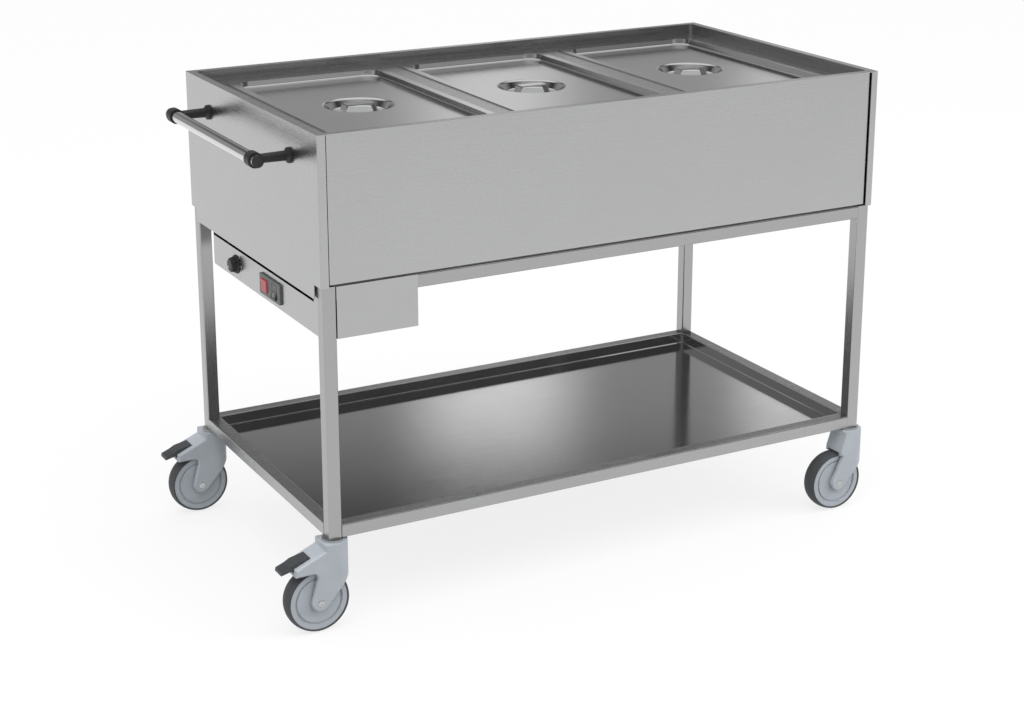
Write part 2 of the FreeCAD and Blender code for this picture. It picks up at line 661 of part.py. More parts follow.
# Water tank, cross bars, heating and insulation
def make_water_tank():
    body = new_body("WaterTank")
    plan = sketch_on(body, "XY_Plane")
    half_x = "(well_length / 2 + sheet_gauge)"
    half_y = "(well_depth / 2 + sheet_gauge)"
    rounded_rectangle(plan, half_x, half_y, "tank_corner + sheet_gauge")
    pad(body, plan, "tank_depth")
    fillet(body, level_edges("0"), "tank_floor_bend")
    open_shell(body, "tank_depth", "sheet_gauge")
    flange = sketch_on(body, "XY_Plane", "tank_depth")
    rounded_rectangle(flange, f"({half_x} + tank_flange)", f"({half_y} + tank_flange)", "tank_corner")
    rounded_rectangle(flange, "well_length / 2", "well_depth / 2", "tank_corner")
    pad(body, flange, "sheet_gauge", backwards=True)
    seats = sketch_on(body, "XY_Plane", "tank_depth + sheet_gauge - bar_drop")
    for side in (-1, 1):
        for wall in (-1, 1):
            middle = f"{side} * pan_pitch / 2"
            outer = f"{wall} * (well_depth / 2 + sheet_gauge / 2)"
            inner = f"{wall} * (well_depth / 2 - ledge_depth)"
            rectangle(seats, f"{middle} - bar_width / 2", outer, f"{middle} + bar_width / 2", inner)
    pad(body, seats, "ledge_gauge", backwards=True)
    outlet = sketch_on(body, "XY_Plane")
    circle(outlet, "drain_along", "drain_across", "drain_bore")
    pocket(body, outlet, "sheet_gauge", backwards=True)
    place(body, "casing_centre", "0", "tank_floor")
    keep(body, "water_tank")


def make_cross_bars():
    """Two folded channels across the tank that carry the long sides of the pans."""
    bars = []
    for side in (-1, 1):
        body = new_body("CrossBar")
        section = sketch_on(body, "XZ_Plane")
        half, inside = "bar_width / 2", "(bar_width / 2 - sheet_gauge)"
        corners = [("-" + half, "-bar_drop"), ("-" + inside, "-bar_drop"), ("-" + inside, "-sheet_gauge")]
        corners += [(inside, "-sheet_gauge"), (inside, "-bar_drop"), (half, "-bar_drop")]
        corners += [(half, "0"), ("-" + half, "0")]
        outline(section, corners)
        pad(body, section, "well_depth - 2 * bar_gap", both_ways=True)
        place(body, f"casing_centre + {side} * pan_pitch / 2", "0", "deck_level")
        bars.append(body)
    keep_group(bars, "cross_bars")


def make_heating_element():
    """Sheathed element in four runs under the tank floor, both ends towards the control box."""
    body = new_body("HeatingElement")
    path = sketch_on(body, "XY_Plane")
    rows = ["-1.5 * element_pitch", "-0.5 * element_pitch", "0.5 * element_pitch", "1.5 * element_pitch"]
    ends = ["-element_run / 2", "element_run / 2"]
    quarter = FreeCAD.Units.Quantity("90 deg").getValueAs("rad").Value
    for i, row in enumerate(rows):
        begin, end = (ends[0], ends[1]) if i % 2 == 0 else (ends[1], ends[0])
        start = Vector(number(begin), number(row), 0)
        run = sketch_add_line(path, start, Vector(number(end), number(row), 0))
        hold_point(path, run, 1, begin, row)
        hold_point(path, run, 2, end, row)
    for i in range(3):
        at_far_end = i % 2 == 0
        side = ends[1] if at_far_end else ends[0]
        middle = Vector(number(side), number(f"{i - 1} * element_pitch"), 0)
        under = Part.Circle(middle, Z_AXIS, number("element_pitch / 2"))
        first_angle = -quarter if at_far_end else quarter
        bend = path.addGeometry(Part.ArcOfCircle(under, first_angle, first_angle + 2 * quarter))
        lower, upper = (1, 2) if at_far_end else (2, 1)
        path.addConstraint(Sketcher.Constraint("Coincident", bend, lower, i, 2))
        path.addConstraint(Sketcher.Constraint("Coincident", bend, upper, i + 1, 1))
        hold(path, "DistanceX", bend, 3, side)
    section = sketch_on(body, "YZ_Plane", ends[0])
    circle(section, rows[0], "0", "element_diameter / 2")
    doc.recompute()
    pipe = body.newObject("PartDesign::AdditivePipe", "Sheath")
    pipe.Profile = section
    pipe.Spine = (path, [f"Edge{i}" for i in range(1, len(path.Shape.Edges) + 1)])
    doc.recompute()
    place(body, "casing_centre", "0", "element_level")
    keep(body, "heating_element")


def sketch_add_line(sketch, start, end):
    return sketch.addGeometry(Part.LineSegment(start, end))


def make_insulation():
    body = new_body("Insulation")
    plan = sketch_on(body, "XY_Plane")
    rectangle(plan, "-well_length / 2", "-well_depth / 2", "well_length / 2", "well_depth / 2")
    circle(plan, "drain_along", "drain_across", "drain_flange + drain_hole_gap")
    pad(body, plan, "insulation_top - base_top")
    place(body, "casing_centre", "0", "base_top")
    keep(body, "insulation_slab")


# Drain
def make_drain_pipe():
    body = new_body("DrainPipe")
    section = sketch_on(body, "XZ_Plane")
    corners = [("drain_bore", "0"), ("drain_flange", "0"), ("drain_flange", "-drain_flange_gauge")]
    corners += [("pipe_radius", "-drain_flange_gauge"), ("pipe_radius", "valve_top - tank_floor")]
    corners += [("drain_bore", "valve_top - tank_floor")]
    outline(section, corners)
    revolve(body, section, "V_Axis")
    place(body, "drain_x", "drain_across", "tank_floor")
    keep(body, "drain_pipe")


def make_drain_valve():
    """Ball valve with a plain spout, its stem towards the back."""
    body = new_body("DrainValve")
    section = sketch_on(body, "XZ_Plane")
    half, neck = "valve_length / 2", "valve_length / 4"
    corners = [("drain_bore", half), ("pipe_radius + drain_wall", half)]
    corners += [("pipe_radius + drain_wall", neck), ("valve_radius", neck)]
    corners += [("valve_radius", "-" + neck), ("pipe_radius", "-" + half)]
    corners += [("pipe_radius", f"-{half} - spout_length"), ("drain_bore", f"-{half} - spout_length")]
    outline(section, corners)
    revolve(body, section, "V_Axis")
    stem = sketch_on(body, "XZ_Plane", "-stem_reach")
    circle(stem, "0", "0", "stem_radius")
    pad(body, stem, "stem_reach - valve_radius + drain_wall")
    collar = sketch_on(body, "XZ_Plane", "lever_gauge + 2 * lever_gap - stem_reach")
    circle(collar, "0", "0", "2 * stem_radius")
    pad(body, collar, "stem_reach - lever_gauge - valve_radius + drain_wall")
    place(body, "drain_x", "drain_across", "valve_middle")
    keep(body, "drain_valve")


def make_drain_lever():
    """Flat lever on the valve stem, level when the valve is shut."""
    body = new_body("DrainLever")
    shape = sketch_on(body, "XZ_Plane")
    half_x, half_y = "(lever_length + lever_width) / 2", "lever_width / 2"
    rounded_rectangle(shape, half_x, half_y, "lever_width / 2 - running_fit", "lever_length / 2")
    circle(shape, "0", "0", "stem_radius + running_fit")
    pad(body, shape, "lever_gauge", both_ways=True)
    place(body, "drain_x", "drain_across + stem_reach - lever_gap - lever_gauge / 2", "valve_middle")
    keep(body, "drain_lever")


# Control box
def make_control_box():
    """Folded box under the handle end, notched round the front leg and closed above by the casing floor."""
    body = new_body("ControlBox")
    plan = sketch_on(body, "XY_Plane")
    behind_leg = "leg_clear - casing_depth / 2"
    corners = [("box_inset", behind_leg), ("leg_clear", behind_leg), ("leg_clear", "box_front")]
    corners += [("box_right", "box_front"), ("box_right", "box_back"), ("box_inset", "box_back")]
    outline(plan, corners)
    pad(body, plan, "box_height")
    open_shell(body, "box_height", "sheet_gauge")
    cover = sketch_on(body, "XY_Plane", "box_height")
    rectangle(cover, "leg_clear", "box_front", "box_right", "box_front + sheet_gauge")
    pad(body, cover, "tube_size - box_gap")
    upstand = sketch_on(body, "XY_Plane", "box_height")
    inner_right, inner_back = "box_right - sheet_gauge", "box_back - sheet_gauge"
    corners = [("leg_clear", inner_back), (inner_right, inner_back), (inner_right, behind_leg)]
    corners += [("box_right", behind_leg), ("box_right", "box_back"), ("leg_clear", "box_back")]
    outline(upstand, corners)
    pad(body, upstand, "tube_size")
    holes = sketch_on(body, "YZ_Plane", "box_inset")
    circle(holes, "knob_across", "panel_middle", "bush_radius + running_fit")
    half_width = "(bezel_width / 2 - switch_margin)"
    half_height = "(bezel_height / 2 - switch_margin)"
    low, high = f"panel_middle - {half_height}", f"panel_middle + {half_height}"
    rectangle(holes, f"switch_across - {half_width}", low, f"switch_across + {half_width}", high)
    slot_start, slot_end = f"{behind_leg} + slot_margin", "box_back - 2 * sheet_gauge"
    rectangle(holes, slot_start, "box_height - box_slot", slot_end, "box_height + box_slot")
    pocket(body, holes, "sheet_gauge", backwards=True)
    inlet = sketch_on(body, "XZ_Plane", "-box_back")
    circle(inlet, "box_right / 2", "panel_middle", "gland_bore + drain_wall")
    pocket(body, inlet, "sheet_gauge", backwards=True)
    place(body, "left_face", "0", "box_bottom")
    keep(body, "control_box")


def make_thermostat():
    """Thermostat behind the panel, with its bush through it and the spindle in the bush."""
    body = new_body("ThermostatBody")
    case = sketch_on(body, "YZ_Plane")
    half = "thermostat_size / 2"
    rounded_rectangle(case, half, half, "bend_radius")
    pad(body, case, "thermostat_depth")
    bush = sketch_on(body, "YZ_Plane")
    circle(bush, "0", "0", "bush_radius")
    pad(body, bush, "sheet_gauge + bush_reach", backwards=True)
    bore = sketch_on(body, "YZ_Plane", "-sheet_gauge - bush_reach")
    circle(bore, "0", "0", "spindle_radius + running_fit")
    pocket(body, bore, "thermostat_depth / 2", backwards=True)
    place(body, "panel_face + sheet_gauge", "knob_across", "control_level")
    keep(body, "thermostat_body")


def make_spindle():
    body = new_body("Spindle")
    section = sketch_on(body, "YZ_Plane")
    circle(section, "0", "0", "spindle_radius")
    inside = "thermostat_depth / 4"
    pad(body, section, f"{inside} + knob_reach - knob_gap - bend_radius")
    start = f"panel_face + {inside} - ({inside} + knob_reach - knob_gap - bend_radius)"
    place(body, start, "knob_across", "control_level")
    keep(body, "thermostat_spindle")


def make_knob():
    """Skirted knob with finger flutes. Local zero on the panel, the knob standing out along -X."""
    body = new_body("Knob")
    section = sketch_on(body, "XZ_Plane")
    root, clear = "knob_gap + bend_radius", "bush_radius + edge_break"
    top = "knob_reach"
    corners = [("-knob_gap", clear), ("-knob_gap", "knob_radius")]
    corners += [(f"-({root})", "knob_radius - edge_break"), (f"-({root}) - edge_break", "knob_grip")]
    corners += [(f"2 * edge_break - {top}", "knob_grip - knob_taper")]
    corners += [(f"-{top}", "knob_grip - knob_taper - 2 * edge_break"), (f"-{top}", "0")]
    corners += [(f"{root} - {top}", "0"), (f"{root} - {top}", "spindle_radius")]
    corners += [("-bush_reach - edge_break", "spindle_radius"), ("-bush_reach - edge_break", clear)]
    outline(section, corners)
    revolve(body, section, "H_Axis")
    flute = sketch_on(body, "YZ_Plane", f"-({root}) - edge_break")
    circle(flute, "knob_grip + flute_radius / 2", "0", "flute_radius")
    cut = pocket(body, flute, "knob_reach", backwards=False)
    ring = body.newObject("PartDesign::PolarPattern", "Flutes")
    ring.Originals = [cut]
    axis = next(p for p in body.Origin.OriginFeatures if p.Role == "X_Axis")
    ring.Axis = (axis, [""])
    ring.Angle = 360
    bind(ring, "Occurrences", "knob_flutes")
    body.Tip = ring
    doc.recompute()
    place(body, "panel_face", "knob_across", "control_level")
    keep(body, "thermostat_knob")


def make_switch():
    """Bezel and body of the mains switch with a window for the rocker and one for the lamp."""
    body = new_body("SwitchBezel")
    face = sketch_on(body, "YZ_Plane")
    rounded_rectangle(face, "bezel_width / 2", "bezel_height / 2", "bend_radius")
    pad(body, face, "bezel_gauge", backwards=True)
    case = sketch_on(body, "YZ_Plane")
    half_width = "(bezel_width / 2 - switch_margin - running_fit)"
    half_height = "(bezel_height / 2 - switch_margin - running_fit)"
    rectangle(case, "-" + half_width, "-" + half_height, half_width, half_height)
    pad(body, case, "switch_depth")
    rocker = sketch_on(body, "YZ_Plane", "-bezel_gauge")
    half_height = "(rocker_height / 2 + rocker_gap)"
    near = "-window_from_middle - rocker_width / 2 - rocker_gap"
    far = "-window_from_middle + rocker_width / 2 + rocker_gap"
    rectangle(rocker, near, "-" + half_height, far, half_height)
    pocket(body, rocker, "rocker_pivot + rocker_root + 3 * rocker_gap", backwards=True)
    lamp = sketch_on(body, "YZ_Plane", "-bezel_gauge")
    near = "window_from_middle - lens_width / 2"
    far = "window_from_middle + lens_width / 2"
    rectangle(lamp, near, "-lens_height / 2", far, "lens_height / 2")
    pocket(body, lamp, "lens_depth", backwards=True)
    pins = sketch_on(body, "XZ_Plane", "window_from_middle")
    circle(pins, "rocker_pivot - bezel_gauge", "0", "trunnion_radius + running_fit")
    pocket(body, pins, "rocker_width + 2 * trunnion_reach + edge_break", both_ways=True)
    place(body, "panel_face", "switch_across", "control_level")
    keep(body, "switch_bezel")


def make_rocker():
    """Rocker with two faces that lean apart, stored with its upper end pressed in."""
    body = new_body("Rocker")
    side = sketch_on(body, "XZ_Plane")
    half = "rocker_height / 2"
    crest = f"-rocker_pivot - {half} * tan(rocker_angle)"
    corners = [("-rocker_pivot", "0"), (crest, half), ("rocker_root / 3", half)]
    corners += [("rocker_root", half + " / 2"), ("rocker_root", "-" + half + " / 2")]
    corners += [("rocker_root / 3", "-" + half), (crest, "-" + half)]
    outline(side, corners)
    pad(body, side, "rocker_width", both_ways=True)
    pins = sketch_on(body, "XZ_Plane")
    circle(pins, "0", "0", "trunnion_radius")
    pad(body, pins, "rocker_width + 2 * trunnion_reach", both_ways=True)
    lean = Rotation(Y_AXIS, number("rocker_angle"))
    x, y = "panel_face - bezel_gauge + rocker_pivot", "switch_across - window_from_middle"
    place(body, x, y, "control_level", lean)
    keep(body, "switch_rocker")


def make_pilot_lens():
    body = new_body("PilotLens")
    face = sketch_on(body, "YZ_Plane", "-bezel_gauge + lens_depth")
    rectangle(face, "-lens_width / 2", "-lens_height / 2", "lens_width / 2", "lens_height / 2")
    pad(body, face, "lens_depth + lens_proud", backwards=True)
    front = number("-bezel_gauge - lens_proud") + NEAR
    fillet(body, lambda edge: edge.BoundBox.XMax < front, "lens_bend")
    place(body, "panel_face", "switch_across + window_from_middle", "control_level")
    keep(body, "pilot_lens")


def make_cable_gland():
    """Cable inlet on the back wall of the control box: a hexagon nut, a dome and the cable way."""
    nut = doc.addObject("Part::Prism", "GlandNut")
    nut.Polygon = 6
    bind(nut, "Circumradius", "gland_size / 2 / cos(30)")
    bind(nut, "Height", "gland_size / 3")
    dome = doc.addObject("Part::Cone", "GlandDome")
    bind(dome, "Radius1", "gland_size / 2 - edge_break")
    bind(dome, "Radius2", "gland_bore + drain_wall")
    bind(dome, "Height", "gland_size * 2 / 3")
    bind(dome, "Placement.Base.z", "gland_size / 3")
    thread = doc.addObject("Part::Cylinder", "GlandThread")
    bind(thread, "Radius", "gland_bore + drain_wall - running_fit")
    bind(thread, "Height", "gland_size / 2")
    bind(thread, "Placement.Base.z", "-gland_size / 2")
    outside = doc.addObject("Part::MultiFuse", "GlandOutside")
    outside.Shapes = [nut, dome, thread]
    way = doc.addObject("Part::Cylinder", "GlandWay")
    bind(way, "Radius", "gland_bore")
    bind(way, "Height", "3 * gland_size")
    bind(way, "Placement.Base.z", "-gland_size")
    gland = doc.addObject("Part::Cut", "CableGland")
    gland.Base = outside
    gland.Tool = way
    place(gland, "left_face + box_right / 2", "box_back", "control_level", ALONG_Y)
    keep(gland, "cable_gland")


# Push handle
def make_handle():
    body = new_body("HandleBar")
    section = sketch_on(body, "XZ_Plane")
    circle(section, "0", "0", "handle_diameter / 2")
    circle(section, "0", "0", "handle_diameter / 2 - handle_wall")
    pad(body, section, "handle_length", both_ways=True)
    place(body, "left_face - handle_standoff", "0", "handle_level")
    keep(body, "handle_bar")
    brackets = []
    plugs = []
    for side in (-1, 1):
        brackets.append(handle_bracket(f"{side} * bracket_spacing / 2"))
        plugs.append(end_plug(f"{side} * handle_length / 2", TURNED if side < 0 else UPRIGHT))
    keep_group(brackets, "handle_brackets")
    keep_group(plugs, "handle_end_plugs")


def handle_bracket(y):
    """Round foot on the end panel, an arm and a ring round the push bar."""
    body = new_body("HandleBracket")
    section = sketch_on(body, "XZ_Plane")
    corners = [("0", "0"), ("0", "bracket_foot"), ("edge_break - bracket_foot_gauge", "bracket_foot")]
    corners += [("-bracket_foot_gauge", "bracket_foot - edge_break")]
    corners += [("-bracket_foot_gauge - 3 * edge_break", "bracket_arm")]
    corners += [("-handle_standoff", "bracket_arm - edge_break"), ("-handle_standoff", "0")]
    outline(section, corners)
    revolve(body, section, "H_Axis")
    ring = sketch_on(body, "XZ_Plane")
    circle(ring, "-handle_standoff", "0", "handle_diameter / 2 + bracket_wall")
    pad(body, ring, "bracket_width", both_ways=True)
    bore = sketch_on(body, "XZ_Plane")
    circle(bore, "-handle_standoff", "0", "handle_diameter / 2 + running_fit")
    pocket(body, bore, "2 * bracket_width", both_ways=True)
    place(body, "left_face", y, "handle_level")
    return body


def end_plug(y, rotation):
    """Plug in the end of the push bar, with a low domed cap."""
    body = new_body("EndPlug")
    section = sketch_on(body, "XY_Plane")
    cap, inside = "handle_diameter / 2", "handle_diameter / 2 - handle_wall - plug_fit"
    corners = [("0", "-plug_depth"), (inside, "-plug_depth"), (inside, "0"), (cap, "0")]
    corners += [(cap, "plug_cap / 2"), (cap + " - plug_cap", "plug_cap"), ("0", "plug_cap")]
    outline(section, corners)
    revolve(body, section, "V_Axis")
    place(body, "left_face - handle_standoff", y, "handle_level", rotation)
    return body


# Pans and lids
def pressed_cup(body, half_x, half_y, corner, depth, draft, bend):
    """Cup with sloping walls below local zero and a flange round its mouth."""
    mouth = sketch_on(body, "XY_Plane")
    rounded_rectangle(mouth, half_x, half_y, corner)
    pad(body, mouth, depth, backwards=True, draft=f"-{draft}")
    wall = f"pan_gauge / cos({draft})"
    inner_x, inner_y, inner_corner = f"({half_x} - {wall})", f"({half_y} - {wall})", f"({corner} - {wall})"
    hollow = sketch_on(body, "XY_Plane")
    rounded_rectangle(hollow, inner_x, inner_y, inner_corner)
    pocket(body, hollow, f"{depth} - pan_gauge", draft=f"-{draft}")
    fillet(body, level_edges(f"pan_gauge - {depth}"), f"{bend} - pan_gauge")
    fillet(body, level_edges(f"-{depth}"), bend)
    flange = sketch_on(body, "XY_Plane")
    rounded_rectangle(flange, "pan_width / 2", "pan_length / 2", "pan_flange_corner")
    rounded_rectangle(flange, inner_x, inner_y, inner_corner)
    pad(body, flange, "pan_gauge")


def make_pan(name, column):
    """Deep drawn pan hanging by its flange. Local zero on the deck."""
    body = new_body("Pan")
    half_x, half_y = "pan_body_width / 2", "pan_body_length / 2"
    pressed_cup(body, half_x, half_y, "pan_corner", "pan_depth", "pan_draft", "pan_floor_bend")
    place(body, f"casing_centre + {column} * pan_pitch", "0", "deck_level")
    keep(body, name)


def make_lid(name, column):
    """Pressed lid with a recessed panel and a finger dish. Local zero on the flange of the pan."""
    body = new_body("Lid")
    half_x, half_y = "lid_body_width / 2", "lid_body_length / 2"
    pressed_cup(body, half_x, half_y, "lid_corner", "lid_recess", "lid_draft", "lid_bend")
    dish = sketch_on(body, "XY_Plane", "-lid_recess")
    circle(dish, "0", "0", "dish_diameter / 2")
    pad(body, dish, "dish_depth", backwards=True, draft="-dish_draft")
    fillet(body, ring_edges("-lid_recess", "dish_diameter / 2"), "lid_bend")
    fillet(body, level_edges("-lid_recess - dish_depth"), "dish_bend")
    bowl = sketch_on(body, "XY_Plane", "pan_gauge - lid_recess")
    bowl_radius = "dish_diameter / 2 + pan_gauge * tan(dish_draft) - pan_gauge / cos(dish_draft)"
    circle(bowl, "0", "0", bowl_radius)
    pocket(body, bowl, "dish_depth", draft="-dish_draft")
    fillet(body, ring_edges("pan_gauge - lid_recess", bowl_radius), "lid_bend + pan_gauge")
    fillet(body, level_edges("pan_gauge - lid_recess - dish_depth"), "dish_bend - pan_gauge")
    place(body, f"casing_centre + {column} * pan_pitch", "0", "deck_level + pan_gauge")
    keep(body, name)


def make_lid_handle(name, column):
    """Strap that bridges the finger dish, its feet on the floor of the dish."""
    body = new_body("LidHandle")
    side = sketch_on(body, "XZ_Plane")
    foot_top = "dish_floor + strap_gauge"
    top = "pan_gauge - lid_recess + strap_rise"
    half = [("strap_knee - strap_gauge", "dish_floor"), ("strap_foot", "dish_floor")]
    half += [("strap_foot", foot_top), ("strap_knee", foot_top), ("strap_shoulder", top)]
    other = [(f"-({px})", pz) for px, pz in reversed(half)]
    under = [("-(strap_shoulder - strap_gauge)", f"{top} - strap_gauge")]
    under += [("strap_shoulder - strap_gauge", f"{top} - strap_gauge")]
    outline(side, half + other + under)
    pad(body, side, "strap_width", both_ways=True)
    crest = number(top) - NEAR
    fillet(body, straight_edges(Y_AXIS, lambda m: m.z > crest), "strap_bend")
    place(body, f"casing_centre + {column} * pan_pitch", "0", "deck_level + pan_gauge")
    keep(body, name)


# Casters, each about its own swivel axis at local zero on the floor
def make_caster_stem(x, y):
    """Plug in the foot of a leg with a flange and the swivel pin below it."""
    body = new_body("CasterStem")
    plug = sketch_on(body, "XY_Plane")
    half = "(tube_size / 2 - tube_gauge - stem_fit)"
    rectangle(plug, "-" + half, "-" + half, half, half)
    pad(body, plug, "stem_height")
    flange = sketch_on(body, "XY_Plane")
    circle(flange, "0", "0", "stem_flange_radius")
    pad(body, flange, "stem_flange", backwards=True)
    pin = sketch_on(body, "XY_Plane", "-stem_flange")
    circle(pin, "0", "0", "kingpin_radius")
    pad(body, pin, "kingpin_length", backwards=True)
    place(body, x, y, "caster_height")
    return body


def fork_profile(body, kind):
    """Side view of the fork: head, front edge, axle boss, arch and nose."""
    profile = sketch_on(body, "XZ_Plane")
    corners = [("head_radius", "fork_top"), ("head_radius", "fork_waist")]
    nose = f"-{kind}nose_back"
    corners += [(f"-{kind}arch_back", "hood_edge"), (nose, "hood_edge"), (nose, f"{kind}nose_top")]
    corners += [("-head_radius", "hood_neck"), ("-head_radius", "fork_top")]
    spots = [Vector(number(px), number(pz), 0) for px, pz in corners]
    axle = Vector(-number("caster_trail"), number("wheel_radius"), 0)
    boss = number("axle_boss")
    half_turn = FreeCAD.Units.Quantity("180 deg").getValueAs("rad").Value
    back_edge = sketch_add_line(profile, spots[0], spots[1])
    down = sketch_add_line(profile, spots[1], axle + Vector(boss, -boss, 0))
    under = Part.ArcOfCircle(Part.Circle(axle, Z_AXIS, boss), -half_turn, -half_turn / 4)
    cup = profile.addGeometry(under)
    up = sketch_add_line(profile, axle - Vector(boss, 0, 0), spots[2])
    rest = [sketch_add_line(profile, spots[i], spots[(i + 1) % 7]) for i in range(2, 7)]
    chain = [(back_edge, 2, down, 1), (up, 2, rest[0], 1), (rest[4], 2, back_edge, 1)]
    chain += [(rest[i], 2, rest[i + 1], 1) for i in range(4)]
    for link in chain:
        profile.addConstraint(Sketcher.Constraint("Coincident", *link))
    profile.addConstraint(Sketcher.Constraint("Tangent", down, 2, cup, 2))
    profile.addConstraint(Sketcher.Constraint("Tangent", cup, 1, up, 1))
    for line, (px, pz) in zip([back_edge, down] + rest, corners):
        hold_point(profile, line, 1, px, pz)
    hold_point(profile, cup, 3, "-caster_trail", "wheel_radius")
    hold(profile, "Radius", cup, 0, "axle_boss")
    return profile


def make_fork(name, x, y, braked):
    """Moulded swivel fork over the wheel, with a longer hood where it carries a brake."""
    body = new_body("Fork")
    kind = "brake_" if braked else ""
    pad(body, fork_profile(body, kind), "fork_width", both_ways=True)
    front, arch = number("head_radius"), -number(f"{kind}arch_back")
    fillet(body, straight_edges(Z_AXIS, lambda m: m.x > front - NEAR), "head_radius - 1")
    fillet(body, straight_edges(Y_AXIS, lambda m: abs(m.x - arch) < NEAR), f"{kind}arch_round")
    side = number("fork_width / 2") - NEAR
    below_head = number("fork_top") - NEAR

    def on_cheek(edge):
        middle = edge.CenterOfMass
        return abs(middle.y) > side and middle.z < below_head

    fillet(body, on_cheek, "fork_round")
    wheel = sketch_on(body, "XZ_Plane")
    circle(wheel, "-caster_trail", "wheel_radius", "wheel_space")
    pocket(body, wheel, "wheel_width + 2 * fork_side_gap", both_ways=True)
    axle = sketch_on(body, "XZ_Plane")
    circle(axle, "-caster_trail", "wheel_radius", "axle_radius + running_fit")
    pocket(body, axle, "2 * fork_width", both_ways=True)
    pin = sketch_on(body, "XY_Plane", "fork_top")
    circle(pin, "0", "0", "kingpin_radius + running_fit")
    pocket(body, pin, "kingpin_length + swivel_gap")
    if braked:
        slot = sketch_on(body, "XZ_Plane")
        rectangle(slot, "-pedal_reach", "pedal_slot_floor", "-pedal_slot_end", "fork_top")
        pocket(body, slot, "pedal_slot", both_ways=True)
        pivot = sketch_on(body, "XZ_Plane")
        circle(pivot, "-pedal_pivot_back", "pedal_pivot_height", "pedal_pin + running_fit")
        pocket(body, pivot, "pedal_slot + 2 * pedal_pin_reach + edge_break", both_ways=True)
    place(body, x, y, "0")
    keep(body, name)


def make_axle(name, x, y):
    body = new_body("Axle")
    section = sketch_on(body, "XZ_Plane")
    circle(section, "0", "0", "axle_radius")
    pad(body, section, "fork_width", both_ways=True)
    place(body, f"{x} - caster_trail", y, "wheel_radius")
    keep(body, name)


def make_wheel_core(name, x, y):
    """Wheel disc with a hub, and a ring groove in each face."""
    body = new_body("WheelCore")
    section = sketch_on(body, "XY_Plane")
    rim = "(wheel_width / 2 - core_inset)"
    face = "(wheel_width / 2 - core_inset - edge_break)"
    floor = "(wheel_width / 2 - core_inset - groove_depth)"
    half = [("axle_radius + running_fit", "hub_width / 2"), ("hub_radius - edge_break", "hub_width / 2")]
    half += [("hub_radius + edge_break", face), ("groove_inner", face)]
    half += [("groove_inner + edge_break", floor), ("groove_outer - edge_break", floor)]
    half += [("groove_outer", rim), ("wheel_core", rim)]
    outline(section, half + [(px, f"-({py})") for px, py in reversed(half)])
    revolve(body, section, "V_Axis")
    place(body, f"{x} - caster_trail", y, "wheel_radius")
    keep(body, name)


def make_tyre(name, x, y):
    """Solid tyre with a crowned tread."""
    body = new_body("Tyre")
    section = sketch_on(body, "XY_Plane")
    seat, side = number("wheel_core"), number("wheel_width / 2 - core_inset")
    edge, half = number("tread_edge"), number("wheel_width / 2")
    spots = [Vector(edge, -half, 0), Vector(seat, -side, 0), Vector(seat, side, 0), Vector(edge, half, 0)]
    lines = [sketch_add_line(section, spots[i], spots[i + 1]) for i in range(3)]
    crown = Part.Arc(spots[3], Vector(number("wheel_radius"), 0, 0), spots[0])
    tread = section.addGeometry(crown)
    starts_low = section.getPoint(tread, 1).y < 0
    low, high = (1, 2) if starts_low else (2, 1)
    for link in ((lines[0], 2, lines[1], 1), (lines[1], 2, lines[2], 1)):
        section.addConstraint(Sketcher.Constraint("Coincident", *link))
    section.addConstraint(Sketcher.Constraint("Coincident", lines[2], 2, tread, high))
    section.addConstraint(Sketcher.Constraint("Coincident", lines[0], 1, tread, low))
    side_formula = "wheel_width / 2 - core_inset"
    hold_point(section, lines[0], 1, "tread_edge", "-wheel_width / 2")
    hold_point(section, lines[1], 1, "wheel_core", f"-({side_formula})")
    hold_point(section, lines[2], 1, "wheel_core", side_formula)
    hold_point(section, lines[2], 2, "tread_edge", "wheel_width / 2")
    crown_radius = "((wheel_width / 2) ^ 2 + tread_crown ^ 2) / (2 * tread_crown)"
    hold(section, "DistanceX", tread, 3, f"wheel_radius - {crown_radius}")
    revolve(body, section, "V_Axis")
    place(body, f"{x} - caster_trail", y, "wheel_radius")
    keep(body, name)


def make_pedal(name, x, y):
    """Brake pedal in the slot of the hood. Local zero on its pivot."""
    body = new_body("Pedal")
    side = sketch_on(body, "XZ_Plane")
    tip = "pedal_pivot_back - pedal_reach"
    heel = "pedal_pivot_back - pedal_slot_end - pedal_gap - edge_break"
    nose = "pedal_pivot_back - brake_nose_back"
    outside, inside = f"{nose} - pedal_gauge", f"{nose} + pedal_gauge / 2"
    corners = [(tip, "-pedal_tip_drop"), (outside, "-pedal_tip_drop / 2"), (inside, "-pedal_heel_drop / 2")]
    corners += [("0", "-pedal_heel_drop"), (heel, "-pedal_heel_drop"), (heel, "pedal_heel_rise")]
    corners += [(inside, "pedal_heel_rise * 3 / 5"), (outside, "pedal_heel_rise / 4")]
    corners += [(f"{tip} + edge_break", "pedal_gauge - pedal_tip_drop")]
    outline(side, corners)
    pad(body, side, "pedal_width", both_ways=True)
    pin = sketch_on(body, "XZ_Plane")
    circle(pin, "0", "0", "pedal_pin")
    pad(body, pin, "pedal_slot + 2 * pedal_pin_reach", both_ways=True)
    place(body, f"{x} - pedal_pivot_back", y, "pedal_pivot_height")
    keep(body, name)


def make_casters():
    stems = [make_caster_stem(x, y) for x, y in CORNERS.values()]
    keep_group(stems, "caster_stems")
    for corner, (x, y) in CORNERS.items():
        make_fork("caster_fork_" + corner, x, y, corner in BRAKED)
        make_axle("caster_axle_" + corner, x, y)
        make_wheel_core("wheel_core_" + corner, x, y)
        make_tyre("tyre_" + corner, x, y)
        if corner in BRAKED:
            make_pedal("brake_pedal_" + corner, x, y)


